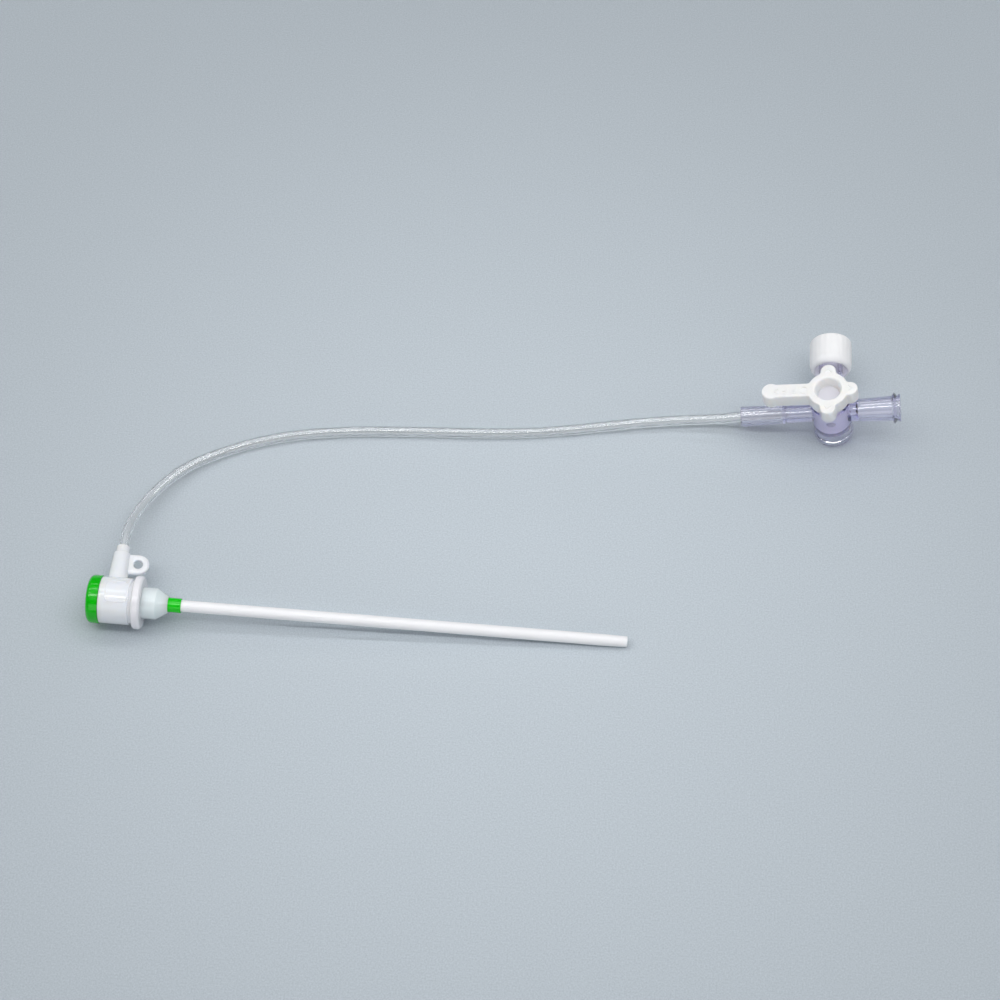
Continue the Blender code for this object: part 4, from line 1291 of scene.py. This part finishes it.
CHEVRON_REACH = 4.9
CHEVRON_RIB = 0.17
chevrons = grown("raised_lug_chevrons", chevron_tree(), Reach=CHEVRON_REACH * MM, Rib=CHEVRON_RIB * MM)
print("the chevrons have", len(chevrons.data.polygons), "faces")

# %% Forms of the plug and the recess
PLATE_EDGE = 0.35
PLATE_EDGE_PARTS = 5
PLUG_SHOULDER = 5.0
PLUG_NECK_RADIUS = 3.9
PASSAGE_REACH = 4
PASSAGE_SIDES = 64
RECESS_FLOOR = 7.5
RECESS_RADIUS = 2.85
RECESS_ROUND = 0.5
RECESS_LIP = 10.0
RECESS_WIDE = 3.15
RECESS_PAST = 0.2
plug_profile = [
    (-WEB_DEPTH - PLUG_SUNK, 0),
    (-WEB_DEPTH - PLUG_SUNK, plug_radius(-WEB_DEPTH)),
    (PLUG_SHOULDER, plug_radius(PLUG_SHOULDER)),
    (PLUG_SHOULDER + 0.05, PLUG_NECK_RADIUS),
    (PLATE_LOW + PLATE_EDGE, PLUG_NECK_RADIUS),
    (PLATE_LOW + PLATE_EDGE, 0),
]
recess_profile = [
    (RECESS_FLOOR, 0),
    (RECESS_FLOOR, 1.75),
    *arc(RECESS_FLOOR + RECESS_ROUND, RECESS_RADIUS - RECESS_ROUND, RECESS_ROUND, 180, 90, 6),
    (8.3, RECESS_RADIUS + 0.1),
    (RECESS_LIP, RECESS_WIDE),
    *arc(RECESS_LIP, RECESS_WIDE + RECESS_ROUND, RECESS_ROUND, -90, -20, 6),
    (PLATE_TOP + RECESS_PAST, 3.7),
    (PLATE_TOP + RECESS_PAST, 0),
]
cross_passage = turned(rod_profile(-PASSAGE_REACH, PASSAGE_REACH, PASSAGE_RADIUS), "Y", PASSAGE_SIDES)
stem_passage = turned(rod_profile(0, PASSAGE_REACH, PASSAGE_RADIUS), "X", PASSAGE_SIDES)
print("the passage is", 2 * PASSAGE_RADIUS, "mm wide")

# %% Build the handle
handle_plate = rounded_plate(handle_outline(), PLATE_HALF, PLATE_EDGE, PLATE_EDGE_PARTS)
handle = mesh_object("white_handle", handle_plate)
handle.data.transform(Matrix.Translation((0, 0, (PLATE_LOW + PLATE_HALF) * MM)))
tools = [
    (mesh_object("plug_form", turned(plug_profile, "Z")), "UNION"),
    (lever_marks, "UNION"),
    (chevrons, "UNION"),
    (mesh_object("recess_form", turned(recess_profile, "Z")), "DIFFERENCE"),
    (mesh_object("cross_passage", cross_passage), "DIFFERENCE"),
    (mesh_object("stem_passage", stem_passage), "DIFFERENCE"),
]
combined(handle, tools)
settled(handle, stopcock_frame @ Matrix.Rotation(HANDLE_TURN, 4, "Z"))
finished(smooth(handle), handle_white, "handle", "stopcock_handle")

# %% [markdown]
# ## Painted shade in the handle's recess
# The bottom of the handle's recess is greyer and a little more violet than the handle, because shade falls there.
# A thin disc with a finish of its own paints that shade. It turns with the handle.

# %% Build the disc in the recess
DISC_UNDER = 7.4
DISC_RADIUS = 2.9
disc_profile = [
    (DISC_UNDER, 0),
    (DISC_UNDER, DISC_RADIUS),
    (DISC_UNDER + 0.1, DISC_RADIUS),
    (DISC_UNDER + 0.22, DISC_RADIUS - 0.15),
    (DISC_UNDER + 0.15, 0),
]
# Painted shade: the disc's grey-violet colour darkens the floor of the recess.
recess_shade_grey = moulded("recess_shade_grey", (0.64, 0.635, 0.69), roughness=0.35, bump=0.02)
recess_shade_disc = mesh_object("painted_recess_shade_disc", turned(disc_profile, "Z"))
settled(recess_shade_disc, stopcock_frame)
finished(smooth(recess_shade_disc), recess_shade_grey, "handle", "stopcock_handle")

# %% [markdown]
# ## The luer cap
# The cap has shallow flutes round its wall to give fingers a hold. The profile is spun finely, and the
# points of the outer wall are then pulled in a little at even turns, so the flutes are real.

# %% Turn the luer cap and press its flutes
CAP_FLUTES = 24
FLUTE_DEPTH = 0.09
FLUTE_STEPS = 8
FLUTE_SHARPNESS = 4
FLUTE_START = 13.6
LUER_RADIUS = 5.28
LUER_END = 20.6
LUER_INSIDE = 4.1
LUER_FLOOR = 19.2
LUER_RIM = 12.0
LUER_RIM_EDGE = 0.15
LUER_END_ROUND = 0.6
SPIGOT_END = 13.2
SPIGOT_RADIUS = 1.55
SPIGOT_ROOT = 1.85
LUER_SHARP = math.radians(45)
luer_profile = [
    (SPIGOT_END, 0),
    (SPIGOT_END, SPIGOT_RADIUS),
    (SPIGOT_END + 0.15, SPIGOT_RADIUS + 0.13),
    (LUER_FLOOR, SPIGOT_ROOT),
    (LUER_FLOOR, LUER_INSIDE),
    (LUER_RIM + LUER_RIM_EDGE, LUER_INSIDE),
    *arc(LUER_RIM + LUER_RIM_EDGE, LUER_INSIDE + LUER_RIM_EDGE, LUER_RIM_EDGE, -90, -180, 4)[1:],
    (12.05, 4.35),
    (12.35, 4.72),
    (12.85, 5.0),
    (13.5, 5.2),
    (13.9, LUER_RADIUS),
    (14.2, LUER_RADIUS),
    (LUER_END - LUER_END_ROUND - 0.4, LUER_RADIUS),
    *arc(LUER_END - LUER_END_ROUND, LUER_RADIUS - LUER_END_ROUND, LUER_END_ROUND, 90, 0, 7),
    (LUER_END, 0),
]
cap_shape = turned(luer_profile, "Y", FLUTE_STEPS * CAP_FLUTES)
for corner in cap_shape.verts:
    out = math.hypot(corner.co.x, corner.co.z)
    if out > (LUER_RADIUS - 0.13) * MM and corner.co.y > FLUTE_START * MM:
        turn = math.atan2(corner.co.z, corner.co.x)
        dip = max(0.0, math.cos(CAP_FLUTES * turn)) ** FLUTE_SHARPNESS * FLUTE_DEPTH * MM
        corner.co.x *= 1 - dip / out
        corner.co.z *= 1 - dip / out
luer_cap = smooth(mesh_object("white_luer_cap", cap_shape), LUER_SHARP)
finished(settled(luer_cap, stopcock_frame), luer_white, "port_cap", "luer_cap")

# %% [markdown]
# ## Table
# The table is a pale blue-grey sheet with a fine grain. Its colour also carries painted shade, which darkens it by
# a fifth away from the middle.

# %% Table
TABLE_SPECKLE = 2600
TABLE_DARK = (0.452, 0.507, 0.556, 1)
TABLE_PALE = (0.564, 0.624, 0.676, 1)
# Centre, size and depth of the painted shade that darkens the sheet away from the middle.
PAINTED_LIGHT_POOL_CENTRE = (0.0, -0.02, 0.0)
PAINTED_LIGHT_POOL_SIZE = (0.26, 0.29, 1.0)
PAINTED_EDGE_SHADE = 0.80

def table_material():
    """Pale blue-grey with a fine speckle, and painted shade that darkens it away from the middle."""
    material = bpy.data.materials.new("table")
    material.use_nodes = True
    tree = material.node_tree
    shader = tree.nodes["Principled BSDF"]
    shader.inputs["Roughness"].default_value = 0.75
    place = add_node(tree, "ShaderNodeTexCoord").outputs["Object"]
    speckle = add_node(tree, "ShaderNodeTexNoise", Vector=place, Scale=TABLE_SPECKLE, Detail=3)
    ramp = add_node(tree, "ShaderNodeValToRGB", Fac=speckle.outputs["Fac"])
    ramp.color_ramp.elements[0].position = 0.3
    ramp.color_ramp.elements[0].color = TABLE_DARK
    ramp.color_ramp.elements[1].position = 0.7
    ramp.color_ramp.elements[1].color = TABLE_PALE
    # Painted shade: the speckled colour is scaled down towards the edges of the sheet.
    centre = add_node(
        tree,
        "ShaderNodeMapping",
        {"vector_type": "TEXTURE"},
        Vector=place,
        Location=PAINTED_LIGHT_POOL_CENTRE,
        Scale=PAINTED_LIGHT_POOL_SIZE,
    )
    painted_light_pool = add_node(
        tree, "ShaderNodeTexGradient", {"gradient_type": "SPHERICAL"}, Vector=centre.outputs[0]
    )
    painted_shade_falloff = add_node(
        tree,
        "ShaderNodeMapRange",
        {"interpolation_type": "SMOOTHSTEP"},
        Value=painted_light_pool.outputs["Fac"],
        From_Min=0.25,
        From_Max=1.0,
        To_Min=PAINTED_EDGE_SHADE,
        To_Max=1.0,
    )
    speckle_and_painted_shade = add_node(
        tree,
        "ShaderNodeVectorMath",
        {"operation": "SCALE"},
        Vector=ramp.outputs["Color"],
        Scale=painted_shade_falloff.outputs["Result"],
    )
    join(tree, speckle_and_painted_shade.outputs[0], shader.inputs["Base Color"])
    return material


TABLE_HALF = 1.5
table_shape = bmesh.new()
bmesh.ops.create_grid(table_shape, x_segments=1, y_segments=1, size=TABLE_HALF)
table = mesh_object("table", table_shape)
table.data.materials.append(table_material())
print("the table is", 2 * TABLE_HALF, "m wide")

# %% [markdown]
# ## Light
# Thin bright lines run along every glossy piece in the picture, so its room has long lamps in rows.
# Three long strips across and one short strip at each side repeat them. A square panel between them
# softens the shadows, and a panel in front lights the sides that face the viewer. Clear plastic bends
# rays straight into small lamps, which gives noise, so the lamps are hidden from rays that have passed
# a clear wall, and those rays see a brighter sky instead.

# %% Lamps
LAMP_HEIGHT = 0.60
STRIP_LENGTH = 1.8
STRIP_WIDTH = 0.05
SIDE_STRIP = (0.02, 0.6)
AIM = (0, 0, 0)


def area_light(name, place, size, power):
    """Flat soft lamp that faces the object."""
    data = bpy.data.lights.new(name, "AREA")
    data.shape = "RECTANGLE"
    data.size, data.size_y = size
    data.energy = power
    light = bpy.data.objects.new(name, data)
    light.location = place
    light.visible_transmission = False
    light.rotation_euler = (Vector(AIM) - Vector(place)).to_track_quat("-Z", "Y").to_euler()
    scene.collection.objects.link(light)


area_light("near_strip", (0.0, -0.12, LAMP_HEIGHT), (STRIP_LENGTH, STRIP_WIDTH), 2.4)
area_light("middle_strip", (0.0, 0.20, LAMP_HEIGHT), (STRIP_LENGTH, STRIP_WIDTH), 1.65)
area_light("rear_strip", (0.0, 0.65, LAMP_HEIGHT), (STRIP_LENGTH, STRIP_WIDTH), 1.1)
area_light("left_strip", (-0.50, 0.0, LAMP_HEIGHT), SIDE_STRIP, 0.32)
area_light("right_strip", (0.50, 0.0, LAMP_HEIGHT), SIDE_STRIP, 0.2)
area_light("top_panel", (0.0, 0.0, 0.55), (0.7, 0.7), 0.95)
area_light("front_panel", (0.0, -1.10, 0.45), (1.6, 0.6), 2.9)
print("lamps:", ", ".join(light.name for light in bpy.data.lights))

# %% Sky
SKY_COLOUR = (0.92, 0.96, 1.0, 1)
SKY_FILL = 0.155
SKY_SEEN = 0.72
world = bpy.data.worlds.new("sky")
scene.world = world
world.use_nodes = True
sky_tree = world.node_tree
sky = sky_tree.nodes["Background"]
sky.inputs["Color"].default_value = SKY_COLOUR
ray = add_node(sky_tree, "ShaderNodeLightPath").outputs["Is Transmission Ray"]
strength = add_node(sky_tree, "ShaderNodeMapRange", Value=ray, To_Min=SKY_FILL, To_Max=SKY_SEEN)
join(sky_tree, strength.outputs["Result"], sky.inputs["Strength"])
scene.view_settings.view_transform = "Standard"
print("the sky fills with", SKY_FILL, "and shows through clear walls with", SKY_SEEN)
